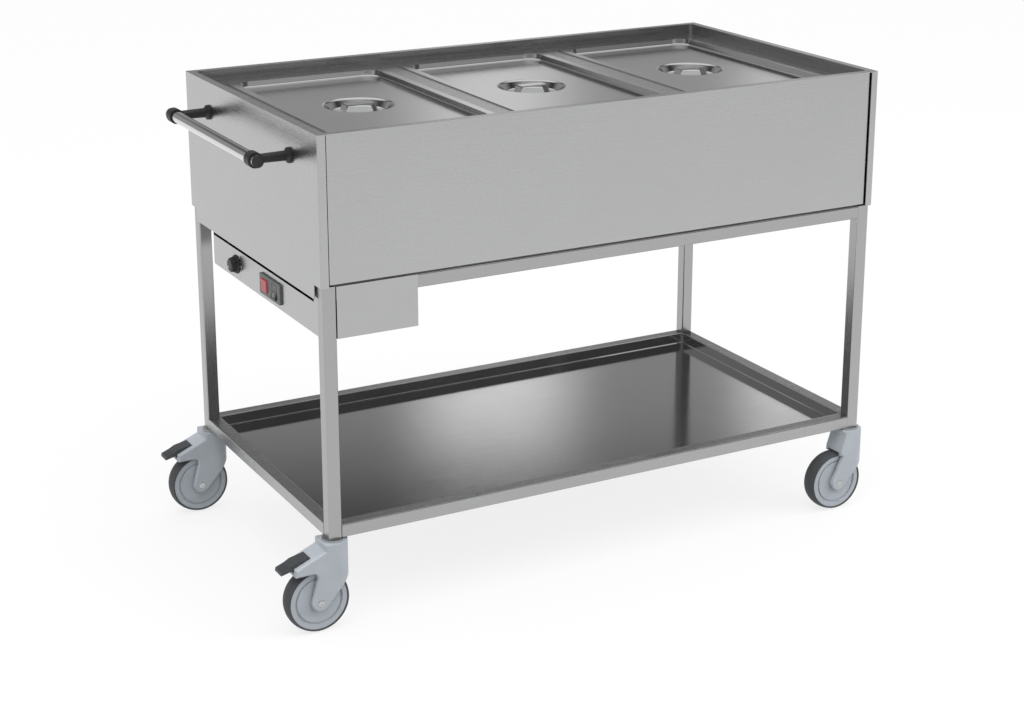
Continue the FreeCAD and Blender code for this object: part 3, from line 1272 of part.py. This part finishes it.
def make_trolley():
    make_legs()
    make_rails("upper_frame", "rail_bottom + tube_size / 2")
    make_rails("shelf_frame", "caster_height + tube_size / 2")
    make_shelf_tray()
    make_end_panel("end_panel_left", "left_face", UPRIGHT)
    make_end_panel("end_panel_right", "right_face", TURNED)
    beside, face = "corner_strip + seam_gap", "casing_depth / 2 - panel_setback"
    make_long_panel("front_panel", f"left_face + {beside}", f"-({face})", UPRIGHT)
    make_long_panel("back_panel", f"right_face - ({beside})", face, TURNED)
    make_top_deck()
    make_base_pan()
    make_water_tank()
    make_cross_bars()
    make_heating_element()
    make_insulation()
    make_drain_pipe()
    make_drain_valve()
    make_drain_lever()
    make_control_box()
    make_thermostat()
    make_spindle()
    make_knob()
    make_switch()
    make_rocker()
    make_pilot_lens()
    make_cable_gland()
    make_handle()
    for side, column in PANS.items():
        make_pan("pan_" + side, column)
        make_lid("lid_" + side, column)
        make_lid_handle("lid_handle_" + side, column)
    make_casters()


def check_and_write():
    doc.recompute()
    for item in doc.Objects:
        if "Invalid" in item.State or "Error" in item.State:
            raise RuntimeError(f"{item.Name} ({item.Label}) did not build")
    os.makedirs("parts", exist_ok=True)
    for item in sub_parts:
        if item.Shape.isNull() or not item.Shape.isValid() or not item.Shape.Solids:
            raise RuntimeError(f"{item.Label} has no valid shape")
        item.Shape.exportStep(f"parts/{item.Label}.step")
    print(len(sub_parts), "sub-parts written")


fill_sheet()
make_trolley()
check_and_write()
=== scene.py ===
import math

import bpy
import bmesh
from mathutils import Matrix, Vector


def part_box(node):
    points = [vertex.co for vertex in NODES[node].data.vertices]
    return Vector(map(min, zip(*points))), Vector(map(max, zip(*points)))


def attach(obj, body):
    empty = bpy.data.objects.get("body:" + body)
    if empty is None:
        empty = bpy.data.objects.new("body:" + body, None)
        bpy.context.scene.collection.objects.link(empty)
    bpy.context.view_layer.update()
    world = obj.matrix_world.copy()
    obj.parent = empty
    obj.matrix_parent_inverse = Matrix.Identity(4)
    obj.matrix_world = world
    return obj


# Bain marie trolley in brushed stainless steel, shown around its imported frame. Metres, floor at zero.

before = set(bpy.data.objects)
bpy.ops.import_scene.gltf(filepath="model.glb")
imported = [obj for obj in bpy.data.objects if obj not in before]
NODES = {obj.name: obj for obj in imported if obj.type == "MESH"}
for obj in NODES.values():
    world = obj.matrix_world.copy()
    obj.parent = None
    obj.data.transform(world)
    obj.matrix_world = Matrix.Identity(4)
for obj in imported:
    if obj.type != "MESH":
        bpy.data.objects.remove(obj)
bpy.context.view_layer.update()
WHITE = (1.0, 1.0, 1.0, 1.0)
UP = (0.0, 0.0, 1.0)
NOISE_LOW, NOISE_HIGH = 0.3, 0.7


def span(node):
    """The lowest and highest corners of a node at rest."""
    low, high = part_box(node)
    return Vector(low), Vector(high)


# Node helpers
class Nodes:
    """A node tree with short ways to add and join nodes."""

    def __init__(self, tree):
        self.tree = tree

    def add(self, kind, **settings):
        node = self.tree.nodes.new(kind)
        for key, value in settings.items():
            setattr(node, key, value)
        return node

    def join(self, source, target):
        self.tree.links.new(source, target)

    def combine(self, operation, *values):
        """One operation on values that are each an output or a number."""
        node = self.add("ShaderNodeMath", operation=operation)
        for value, socket in zip(values, node.inputs):
            if isinstance(value, float):
                socket.default_value = value
            else:
                self.join(value, socket)
        return node.outputs[0]

    def ramp(self, value, start, end, low, high):
        """A smooth step from low at start to high at end."""
        node = self.add("ShaderNodeMapRange", interpolation_type="SMOOTHSTEP")
        node.inputs["From Min"].default_value = start
        node.inputs["From Max"].default_value = end
        node.inputs["To Min"].default_value = low
        node.inputs["To Max"].default_value = high
        self.join(value, node.inputs["Value"])
        return node.outputs["Result"]

    def along(self, vector, direction):
        """How far a vector points along a direction."""
        node = self.add("ShaderNodeVectorMath", operation="DOT_PRODUCT")
        node.inputs[1].default_value = direction
        self.join(vector, node.inputs[0])
        return node.outputs["Value"]

    def noise(self, scale, detail=3.0, roughness=0.6):
        """Noise in the object's own metres, with a scale for each axis."""
        place = self.add("ShaderNodeTexCoord")
        mapping = self.add("ShaderNodeMapping")
        mapping.inputs["Scale"].default_value = scale
        noise = self.add("ShaderNodeTexNoise")
        noise.inputs["Scale"].default_value = 1.0
        noise.inputs["Detail"].default_value = detail
        noise.inputs["Roughness"].default_value = roughness
        self.join(place.outputs["Object"], mapping.inputs["Vector"])
        self.join(mapping.outputs["Vector"], noise.inputs["Vector"])
        return noise.outputs["Fac"]


class Look(Nodes):
    """A material around one principled shader."""

    def __init__(self, name):
        self.material = bpy.data.materials.new(name)
        self.material.use_nodes = True
        super().__init__(self.material.node_tree)
        self.shader = self.tree.nodes["Principled BSDF"]

    def spread(self, noise, low, high):
        """The middle of a noise stretched from low to high."""
        return self.ramp(noise, NOISE_LOW, NOISE_HIGH, low, high)

    def colour(self, noise, low, high):
        mix = self.add("ShaderNodeMix", data_type="RGBA")
        mix.inputs["A"].default_value = (*low, 1.0)
        mix.inputs["B"].default_value = (*high, 1.0)
        self.join(self.spread(noise, 0.0, 1.0), mix.inputs["Factor"])
        self.join(mix.outputs["Result"], self.shader.inputs["Base Color"])

    def roughness(self, noise, low, high):
        self.join(self.spread(noise, low, high), self.shader.inputs["Roughness"])

    def bump(self, height, strength, distance):
        node = self.add("ShaderNodeBump")
        node.inputs["Strength"].default_value = strength
        node.inputs["Distance"].default_value = distance
        self.join(height, node.inputs["Height"])
        self.join(node.outputs["Normal"], self.shader.inputs["Normal"])


# Materials
SCORE_SHARE, CLOUD_SHARE = 0.4, 0.6
STEEL_CLOUD, PLASTIC_CLOUD = 2.5, 14.0
SCORE_DEPTH, GRAIN_DEPTH = 0.0002, 0.0003
DULL_STEEL = (0.94, 0.945, 0.945)
BRIGHT_STEEL = (1.03, 1.035, 1.035)


def steel(name, grain, tone, rough=(0.22, 0.30), score=0.5):
    """Stainless steel brushed along one axis: fine scores, faint cloudy wear, slightly uneven gloss."""
    look = Look(name)
    look.shader.inputs["Metallic"].default_value = 1.0
    scores = look.noise(grain, detail=2.0)
    cloud = look.noise((STEEL_CLOUD,) * 3, detail=4.0)
    scored = look.combine("MULTIPLY", scores, SCORE_SHARE)
    both = look.combine("ADD", scored, look.combine("MULTIPLY", cloud, CLOUD_SHARE))
    look.roughness(both, *rough)
    low = tuple(tone * share for share in DULL_STEEL)
    high = tuple(tone * share for share in BRIGHT_STEEL)
    look.colour(both, low, high)
    look.bump(scores, score, SCORE_DEPTH)
    return look.material


def plastic(name, colour, rough=(0.4, 0.55), grain=900.0, depth=0.15, shift=0.12):
    """Moulded plastic with a fine grain and a slightly uneven colour."""
    look = Look(name)
    fine = look.noise((grain,) * 3, detail=2.0)
    cloud = look.noise((PLASTIC_CLOUD,) * 3)
    low = tuple(part * (1 - shift) for part in colour)
    high = tuple(part * (1 + shift) for part in colour)
    look.colour(cloud, low, high)
    look.roughness(fine, *rough)
    look.bump(fine, depth, GRAIN_DEPTH)
    return look.material


ALONG_X = (10.0, 1300.0, 1300.0)
ALONG_Y = (1300.0, 10.0, 1300.0)
ALONG_Z = (1300.0, 1300.0, 10.0)
EVEN = (250.0, 250.0, 250.0)

sheet_x = steel("steel_sheet_x", ALONG_X, tone=0.46)
sheet_y = steel("steel_sheet_y", ALONG_Y, tone=0.46)
tube_x = steel("steel_tube_x", ALONG_X, tone=0.40)
tube_z = steel("steel_tube_z", ALONG_Z, tone=0.40)
bar_y = steel("steel_bar_y", ALONG_Y, tone=0.66, rough=(0.1, 0.16), score=0.15)
shelf_steel = steel("steel_shelf", ALONG_X, tone=0.52, rough=(0.07, 0.13), score=0.1)
pan_steel = steel("steel_pressed", ALONG_Y, tone=0.58, rough=(0.1, 0.18), score=0.15)
zinc = steel("zinc_plate", EVEN, tone=0.6, rough=(0.35, 0.5), score=0.05)
brass = steel("nickel_brass", EVEN, tone=0.6, rough=(0.2, 0.32), score=0.03)
sheath = steel("element_sheath", EVEN, tone=0.2, rough=(0.4, 0.6), score=0.1)
black = plastic("black_plastic", (0.016, 0.016, 0.017))
gloss_black = plastic("black_gloss", (0.010, 0.010, 0.011), rough=(0.15, 0.25), depth=0.04)
bezel_grey = plastic("bezel_plastic", (0.15, 0.155, 0.16))
dark = plastic("pedal_plastic", (0.055, 0.060, 0.066), rough=(0.45, 0.6))
grey = plastic("caster_plastic", (0.46, 0.50, 0.54), rough=(0.35, 0.5), shift=0.05)
red = plastic("red_plastic", (0.42, 0.03, 0.025), rough=(0.3, 0.45))
lens = plastic("red_lens", (0.50, 0.04, 0.05), rough=(0.1, 0.18), depth=0.02, shift=0.05)
rubber = plastic("tread_rubber", (0.070, 0.074, 0.080), rough=(0.6, 0.75), grain=500.0, depth=0.3)
wool = plastic("mineral_wool", (0.62, 0.56, 0.36), rough=(0.9, 1.0), grain=260.0, depth=0.8)
ink = plastic("white_ink", (0.74, 0.75, 0.74), rough=(0.5, 0.6), shift=0.04)

LOOKS = {
    "top_deck": sheet_x, "front_panel": sheet_x, "back_panel": sheet_x, "base_pan": sheet_x,
    "end_panel_left": sheet_y, "end_panel_right": sheet_y, "control_box": sheet_y,
    "water_tank": pan_steel, "cross_bars": sheet_y, "shelf_tray": shelf_steel,
    "upper_frame": tube_x, "shelf_frame": tube_x, "handle_bar": bar_y,
    "heating_element": sheath, "insulation_slab": wool, "drain_pipe": tube_z, "drain_valve": brass,
    "drain_lever": red, "thermostat_body": black, "thermostat_knob": black, "thermostat_spindle": zinc,
    "switch_bezel": bezel_grey, "switch_rocker": gloss_black, "pilot_lens": lens, "cable_gland": black,
    "handle_brackets": black, "handle_end_plugs": black, "caster_stems": zinc,
}
STARTS = {
    "leg_": tube_z, "pan_": pan_steel, "lid_": pan_steel, "caster_fork": grey, "caster_axle": zinc,
    "wheel_core": grey, "tyre_": rubber, "brake_pedal": dark,
}
for name, node in NODES.items():
    look = LOOKS.get(name) or next(look for start, look in STARTS.items() if name.startswith(start))
    node.data.materials.clear()
    node.data.materials.append(look)


# Small pieces that ride on the frame
def add_piece(name, shape, body, look):
    mesh = bpy.data.meshes.new(name)
    shape.to_mesh(mesh)
    shape.free()
    mesh.materials.append(look)
    piece = bpy.data.objects.new(name, mesh)
    bpy.context.scene.collection.objects.link(piece)
    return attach(piece, body)


def add_bar(shape, size, place):
    """A straight bar with broken edges."""
    made = bmesh.ops.create_cube(shape, size=1.0, matrix=place @ Matrix.Diagonal((*size, 1.0)))
    edges = list({edge for vert in made["verts"] for edge in vert.link_edges})
    bmesh.ops.bevel(shape, geom=edges, offset=min(size) / 4, segments=2, affect="EDGES")


def add_turned(shape, profile, place, steps=28):
    """A turned form: (radius, height) points spun about its own Z axis."""
    rings = []
    for radius, height in profile:
        ring = []
        for step in range(steps):
            angle = math.tau * step / steps
            point = Vector((radius * math.cos(angle), radius * math.sin(angle), height))
            ring.append(shape.verts.new(place @ point))
        rings.append(ring)
    for lower, upper in zip(rings, rings[1:]):
        for step in range(steps):
            after = (step + 1) % steps
            face = shape.faces.new((lower[step], lower[after], upper[after], upper[step]))
            face.smooth = True
    shape.faces.new(rings[-1])
    shape.faces.new(tuple(reversed(rings[0])))


INK = 0.0001
FACING_LEFT = Matrix(((0, 0, -1, 0), (-1, 0, 0, 0), (0, 1, 0, 0), (0, 0, 0, 1)))


def add_letters(shape, text, size, place):
    """Printed letters on the local XY plane, an ink layer on each side of it."""
    curve = bpy.data.curves.new("letters", "FONT")
    curve.body = text
    curve.size = size
    curve.align_x = "CENTER"
    curve.align_y = "CENTER"
    curve.extrude = INK
    letters = bpy.data.objects.new("letters", curve)
    bpy.context.scene.collection.objects.link(letters)
    mesh = bpy.data.meshes.new_from_object(letters)
    bpy.data.objects.remove(letters)
    mesh.transform(place)
    shape.from_mesh(mesh)


KNOB_LOW, KNOB_HIGH = span("thermostat_knob")
KNOB = (KNOB_LOW + KNOB_HIGH) / 2
KNOB_RADIUS = (KNOB_HIGH.z - KNOB_LOW.z) / 2
PANEL_PRINT = span("control_box")[0].x - INK
DIAL_START, DIAL_SWEEP = math.radians(-45), math.radians(270)
DIAL_STEPS = 12
LONG_TICK, SHORT_TICK, TICK_WIDTH, TICK_GAP = 0.0032, 0.002, 0.0007, 0.0015
FIGURE_SIZE, FIGURE_GAP = 0.0062, 0.0085
LINE_WIDTH, LINE_LENGTH, LINE_MIDDLE = 0.0016, KNOB_RADIUS * 0.46, KNOB_RADIUS * 0.38


def on_dial(share, radius, x):
    """A place on the dial, and a frame there that faces the user with its Y axis away from the knob."""
    angle = DIAL_START + DIAL_SWEEP * share
    place = Vector((x, KNOB.y + radius * math.cos(angle), KNOB.z + radius * math.sin(angle)))
    turn = Matrix.Rotation(angle - math.pi / 2, 4, "X")
    return place, Matrix.Translation(place) @ turn @ FACING_LEFT


def make_dial():
    """Scale of ticks and figures printed round the knob, and the white line on the knob."""
    shape = bmesh.new()
    for step in range(DIAL_STEPS + 1):
        share = step / DIAL_STEPS
        has_figure = step % 2 == 0
        length = LONG_TICK if has_figure else SHORT_TICK
        turned = on_dial(share, KNOB_RADIUS + TICK_GAP + length / 2, PANEL_PRINT)[1]
        add_bar(shape, (TICK_WIDTH, length, 2 * INK), turned)
        if has_figure:
            place = on_dial(share, KNOB_RADIUS + FIGURE_GAP, PANEL_PRINT)[0]
            add_letters(shape, str(step // 2), FIGURE_SIZE, Matrix.Translation(place) @ FACING_LEFT)
    add_piece("dial_print", shape, "trolley", ink)
    shape = bmesh.new()
    turned = on_dial(0.0, LINE_MIDDLE, KNOB_LOW.x - INK)[1]
    add_bar(shape, (LINE_WIDTH, LINE_LENGTH, 3 * INK), turned)
    add_piece("knob_line", shape, "knob", ink)


ROCKER_LEAN = math.radians(16)
MARK_SIZE, PRINT_SIZE = 0.009, 0.0058
UPPER_MARK_UP, LOWER_MARK_DOWN, PRINT_UP = 0.0074, 0.0057, 0.005
LOWER_MARK_OUT = 0.0017


def make_switch_marks():
    """Marks on the two faces of the rocker and beside the lamp."""
    low, high = span("switch_rocker")
    bezel_low, bezel_high = span("switch_bezel")
    lens_high = span("pilot_lens")[1]
    middle = (low + high) / 2
    shape = bmesh.new()
    upper = Matrix.Translation((bezel_low.x - INK, middle.y, KNOB.z + UPPER_MARK_UP))
    add_letters(shape, "I", MARK_SIZE, upper @ FACING_LEFT)
    lower = Matrix.Translation((bezel_low.x - LOWER_MARK_OUT - INK, middle.y, KNOB.z - LOWER_MARK_DOWN))
    add_letters(shape, "O", MARK_SIZE, lower @ Matrix.Rotation(ROCKER_LEAN, 4, "Y") @ FACING_LEFT)
    add_piece("rocker_marks", shape, "rocker", ink)
    shape = bmesh.new()
    beside_lens = (lens_high.y + bezel_high.y) / 2
    place = Matrix.Translation((bezel_low.x - INK, beside_lens, KNOB.z + PRINT_UP))
    add_letters(shape, "ON", PRINT_SIZE, place @ FACING_LEFT)
    add_piece("switch_print", shape, "trolley", ink)


AXLE_CAP = [(0.0062, 0.0), (0.0062, 0.0004), (0.0055, 0.0010), (0.0034, 0.0013), (0.0029, 0.0011)]
AXLE_CAP += [(0.0027, 0.0002)]


def make_axle_caps(corner):
    """Button heads with a round socket on both ends of a wheel axle."""
    low, high = span("caster_axle_" + corner)
    middle = (low + high) / 2
    shape = bmesh.new()
    for side, y in ((-1, low.y), (1, high.y)):
        turn = Matrix.Rotation(-side * math.pi / 2, 4, "X")
        add_turned(shape, AXLE_CAP, Matrix.Translation((middle.x, y, middle.z)) @ turn)
    add_piece("axle_caps_" + corner, shape, "caster_" + corner, zinc)


PEDAL_SLOPE = math.radians(21.7)
PEDAL_RIBS, RIB_STEP = 4, 0.0038
RIB_SIZE = (0.0017, 0.024, 0.0016)
FIRST_RIB_IN, FIRST_RIB_UP = 0.0035, 0.007


def make_pedal_ribs(corner):
    """Grip ribs across the tip of a brake pedal."""
    low, high = span("brake_pedal_" + corner)
    start = Vector((low.x + FIRST_RIB_IN, (low.y + high.y) / 2, low.z + FIRST_RIB_UP))
    shape = bmesh.new()
    for step in range(PEDAL_RIBS):
        run = RIB_STEP * step
        place = start + Vector((run, 0.0, run * math.tan(PEDAL_SLOPE)))
        add_bar(shape, RIB_SIZE, Matrix.Translation(place) @ Matrix.Rotation(-PEDAL_SLOPE, 4, "Y"))
    add_piece("pedal_ribs_" + corner, shape, "pedal_" + corner, dark)


SPOT_WELD = [(0.0024, 0.0), (0.0021, 0.0003), (0.0015, 0.00045), (0.0009, 0.0003)]
WELD_FROM_END, WELD_FROM_MIDDLE = 0.0048, 0.0055
STRAP_GAUGE = 0.002


def make_handle_welds(side):
    """Spot welds that hold the feet of a lid handle."""
    low, high = span("lid_handle_" + side)
    shape = bmesh.new()
    for x in (low.x + WELD_FROM_END, high.x - WELD_FROM_END):
        for y in (-WELD_FROM_MIDDLE, WELD_FROM_MIDDLE):
            add_turned(shape, SPOT_WELD, Matrix.Translation((x, y, low.z + STRAP_GAUGE)), steps=16)
    add_piece("handle_welds_" + side, shape, "lid_" + side, pan_steel)


make_dial()
make_switch_marks()
for corner in ("front_left", "front_right", "back_left", "back_right"):
    make_axle_caps(corner)
for corner in ("front_left", "back_left"):
    make_pedal_ribs(corner)
for side in ("left", "middle", "right"):
    make_handle_welds(side)


# Stage: floor, world, lights and camera
AHEAD_TURN = math.radians(62)
AHEAD = (math.cos(AHEAD_TURN), math.sin(AHEAD_TURN), 0.0)
ASIDE = (math.sin(AHEAD_TURN), -math.cos(AHEAD_TURN), 0.0)
FLOOR_REACH = 40.0
FLOOR_GLOW = 0.78
FLOOR_MATT = (0.2, 0.2, 0.2, 1.0)
FLOOR_STRAY = (0.3, 0.3, 0.3, 1.0)

# Smooth steps of the studio: where each starts and ends, and its level there
WALL, WALL_TOP = (-0.2, 0.5, 0.08, 0.36), (0.35, 0.41, 1.0, 0.15)
MIDDLE_BAND, SIDE_BAND = (0.01, 0.06, 1.0, 0.0), (0.01, 0.04, 0.9, 0.0)
SIDE_BAND_OFFSET = 0.15
BAND_AHEAD, BAND_FOOT, BAND_TOP = (0.3, 0.8, 0.0, 1.0), (0.22, 0.34, 0.4, 0.8), (0.36, 0.385, 1.0, 0.05)
CEILING = (0.40, 0.78, 0.0, 1.0)
FRONT, FRONT_FOOT, FRONT_TOP = (-0.7, -0.3, 0.65, 0.0), (0.08, 0.18, 0.1, 1.0), (0.24, 0.32, 1.0, 0.15)


def seen_rays(nodes):
    """One for the rays that show a surface: from the camera, off metal and through glass."""
    path = nodes.add("ShaderNodeLightPath").outputs
    shown = nodes.combine("MAXIMUM", path["Is Camera Ray"], path["Is Glossy Ray"])
    return nodes.combine("MAXIMUM", shown, path["Is Transmission Ray"])


def make_floor():
    """White floor that keeps the object's shadow, a dull one for stray light, and open from below."""
    mesh = bpy.data.meshes.new("floor")
    shape = bmesh.new()
    bmesh.ops.create_grid(shape, x_segments=1, y_segments=1, size=FLOOR_REACH)
    shape.to_mesh(mesh)
    shape.free()
    floor = bpy.data.objects.new("floor", mesh)
    bpy.context.scene.collection.objects.link(floor)
    look = Look("floor")
    look.shader.inputs["Roughness"].default_value = 0.9
    look.shader.inputs["Specular IOR Level"].default_value = 0.1
    look.shader.inputs["Base Color"].default_value = FLOOR_STRAY
    glow = look.add("ShaderNodeEmission")
    glow.inputs["Color"].default_value = WHITE
    glow.inputs["Strength"].default_value = FLOOR_GLOW
    matt = look.add("ShaderNodeBsdfDiffuse")
    matt.inputs["Color"].default_value = FLOOR_MATT
    white = look.add("ShaderNodeAddShader")
    look.join(glow.outputs[0], white.inputs[0])
    look.join(matt.outputs[0], white.inputs[1])
    choose = look.add("ShaderNodeMixShader")
    look.join(seen_rays(look), choose.inputs["Fac"])
    look.join(look.shader.outputs[0], choose.inputs[1])
    look.join(white.outputs[0], choose.inputs[2])
    one_sided = look.add("ShaderNodeMixShader")
    look.join(look.add("ShaderNodeNewGeometry").outputs["Backfacing"], one_sided.inputs["Fac"])
    look.join(choose.outputs[0], one_sided.inputs[1])
    look.join(look.add("ShaderNodeBsdfTransparent").outputs[0], one_sided.inputs[2])
    look.join(one_sided.outputs[0], look.tree.nodes["Material Output"].inputs["Surface"])
    mesh.materials.append(look.material)


def studio_level(nodes):
    """Level of the studio: lit walls ahead and behind, two pale bands, a ceiling light and dark sides."""
    ray = nodes.add("ShaderNodeTexCoord").outputs["Generated"]
    ahead = nodes.along(ray, AHEAD)
    aside = nodes.along(ray, ASIDE)
    height = nodes.along(ray, UP)
    wall = nodes.combine("MULTIPLY", nodes.ramp(ahead, *WALL), nodes.ramp(height, *WALL_TOP))
    middle = nodes.ramp(nodes.combine("ABSOLUTE", aside), *MIDDLE_BAND)
    offset = nodes.combine("ABSOLUTE", nodes.combine("SUBTRACT", aside, SIDE_BAND_OFFSET))
    band = nodes.combine("ADD", middle, nodes.ramp(offset, *SIDE_BAND))
    band = nodes.combine("MULTIPLY", band, nodes.ramp(ahead, *BAND_AHEAD))
    band = nodes.combine("MULTIPLY", band, nodes.ramp(height, *BAND_FOOT))
    band = nodes.combine("MULTIPLY", band, nodes.ramp(height, *BAND_TOP))
    ceiling = nodes.ramp(height, *CEILING)
    front = nodes.combine("MULTIPLY", nodes.ramp(ahead, *FRONT), nodes.ramp(height, *FRONT_FOOT))
    front = nodes.combine("MULTIPLY", front, nodes.ramp(height, *FRONT_TOP))
    above = nodes.combine("MAXIMUM", ceiling, front)
    return nodes.combine("MAXIMUM", nodes.combine("ADD", wall, band), above)


def make_world():
    """Even fill light for matt surfaces, and a studio that the camera, metal and glass all see alike."""
    world = bpy.data.worlds.new("studio")
    bpy.context.scene.world = world
    world.use_nodes = True
    nodes = Nodes(world.node_tree)
    fill = nodes.tree.nodes["Background"]
    fill.inputs["Color"].default_value = WHITE
    fill.inputs["Strength"].default_value = 1.0
    shown = nodes.add("ShaderNodeBackground")
    shown.inputs["Color"].default_value = WHITE
    nodes.join(studio_level(nodes), shown.inputs["Strength"])
    choose = nodes.add("ShaderNodeMixShader")
    nodes.join(seen_rays(nodes), choose.inputs["Fac"])
    nodes.join(fill.outputs[0], choose.inputs[1])
    nodes.join(shown.outputs[0], choose.inputs[2])
    nodes.join(choose.outputs[0], nodes.tree.nodes["World Output"].inputs["Surface"])


def area_light(name, place, target, size, power):
    """A lamp that lights matt surfaces and shows neither to the camera nor in steel."""
    light = bpy.data.lights.new(name, "AREA")
    light.shape = "RECTANGLE"
    light.size, light.size_y = size
    light.energy = power
    lamp = bpy.data.objects.new(name, light)
    lamp.location = place
    aim = Vector(target) - Vector(place)
    lamp.rotation_euler = aim.to_track_quat("-Z", "Y").to_euler()
    lamp.visible_camera = False
    lamp.visible_glossy = False
    bpy.context.scene.collection.objects.link(lamp)


def make_camera():
    """The camera of the photograph, from a perspective fit."""
    lens_px, image_width = 1981.0, 1024.0
    down, turned_right = 16.34, 28.57
    camera = bpy.data.cameras.new("camera")
    camera.sensor_width = 36.0
    camera.lens = lens_px / image_width * camera.sensor_width
    camera.shift_y = -0.0977
    eye = bpy.data.objects.new("camera", camera)
    eye.location = (-1.79, -3.282, 1.627)
    eye.rotation_euler = (math.radians(90 - down), 0.0, math.radians(-turned_right))
    bpy.context.scene.collection.objects.link(eye)
    bpy.context.scene.camera = eye


make_floor()
make_world()
area_light("key", place=(-0.8, -1.4, 3.6), target=(0.0, 0.0, 0.5), size=(3.2, 3.2), power=42.0)
area_light("side", place=(2.8, -2.0, 2.4), target=(0.3, -0.4, 0.4), size=(2.0, 2.0), power=34.0)
make_camera()

bpy.context.scene.view_settings.view_transform = "Standard"
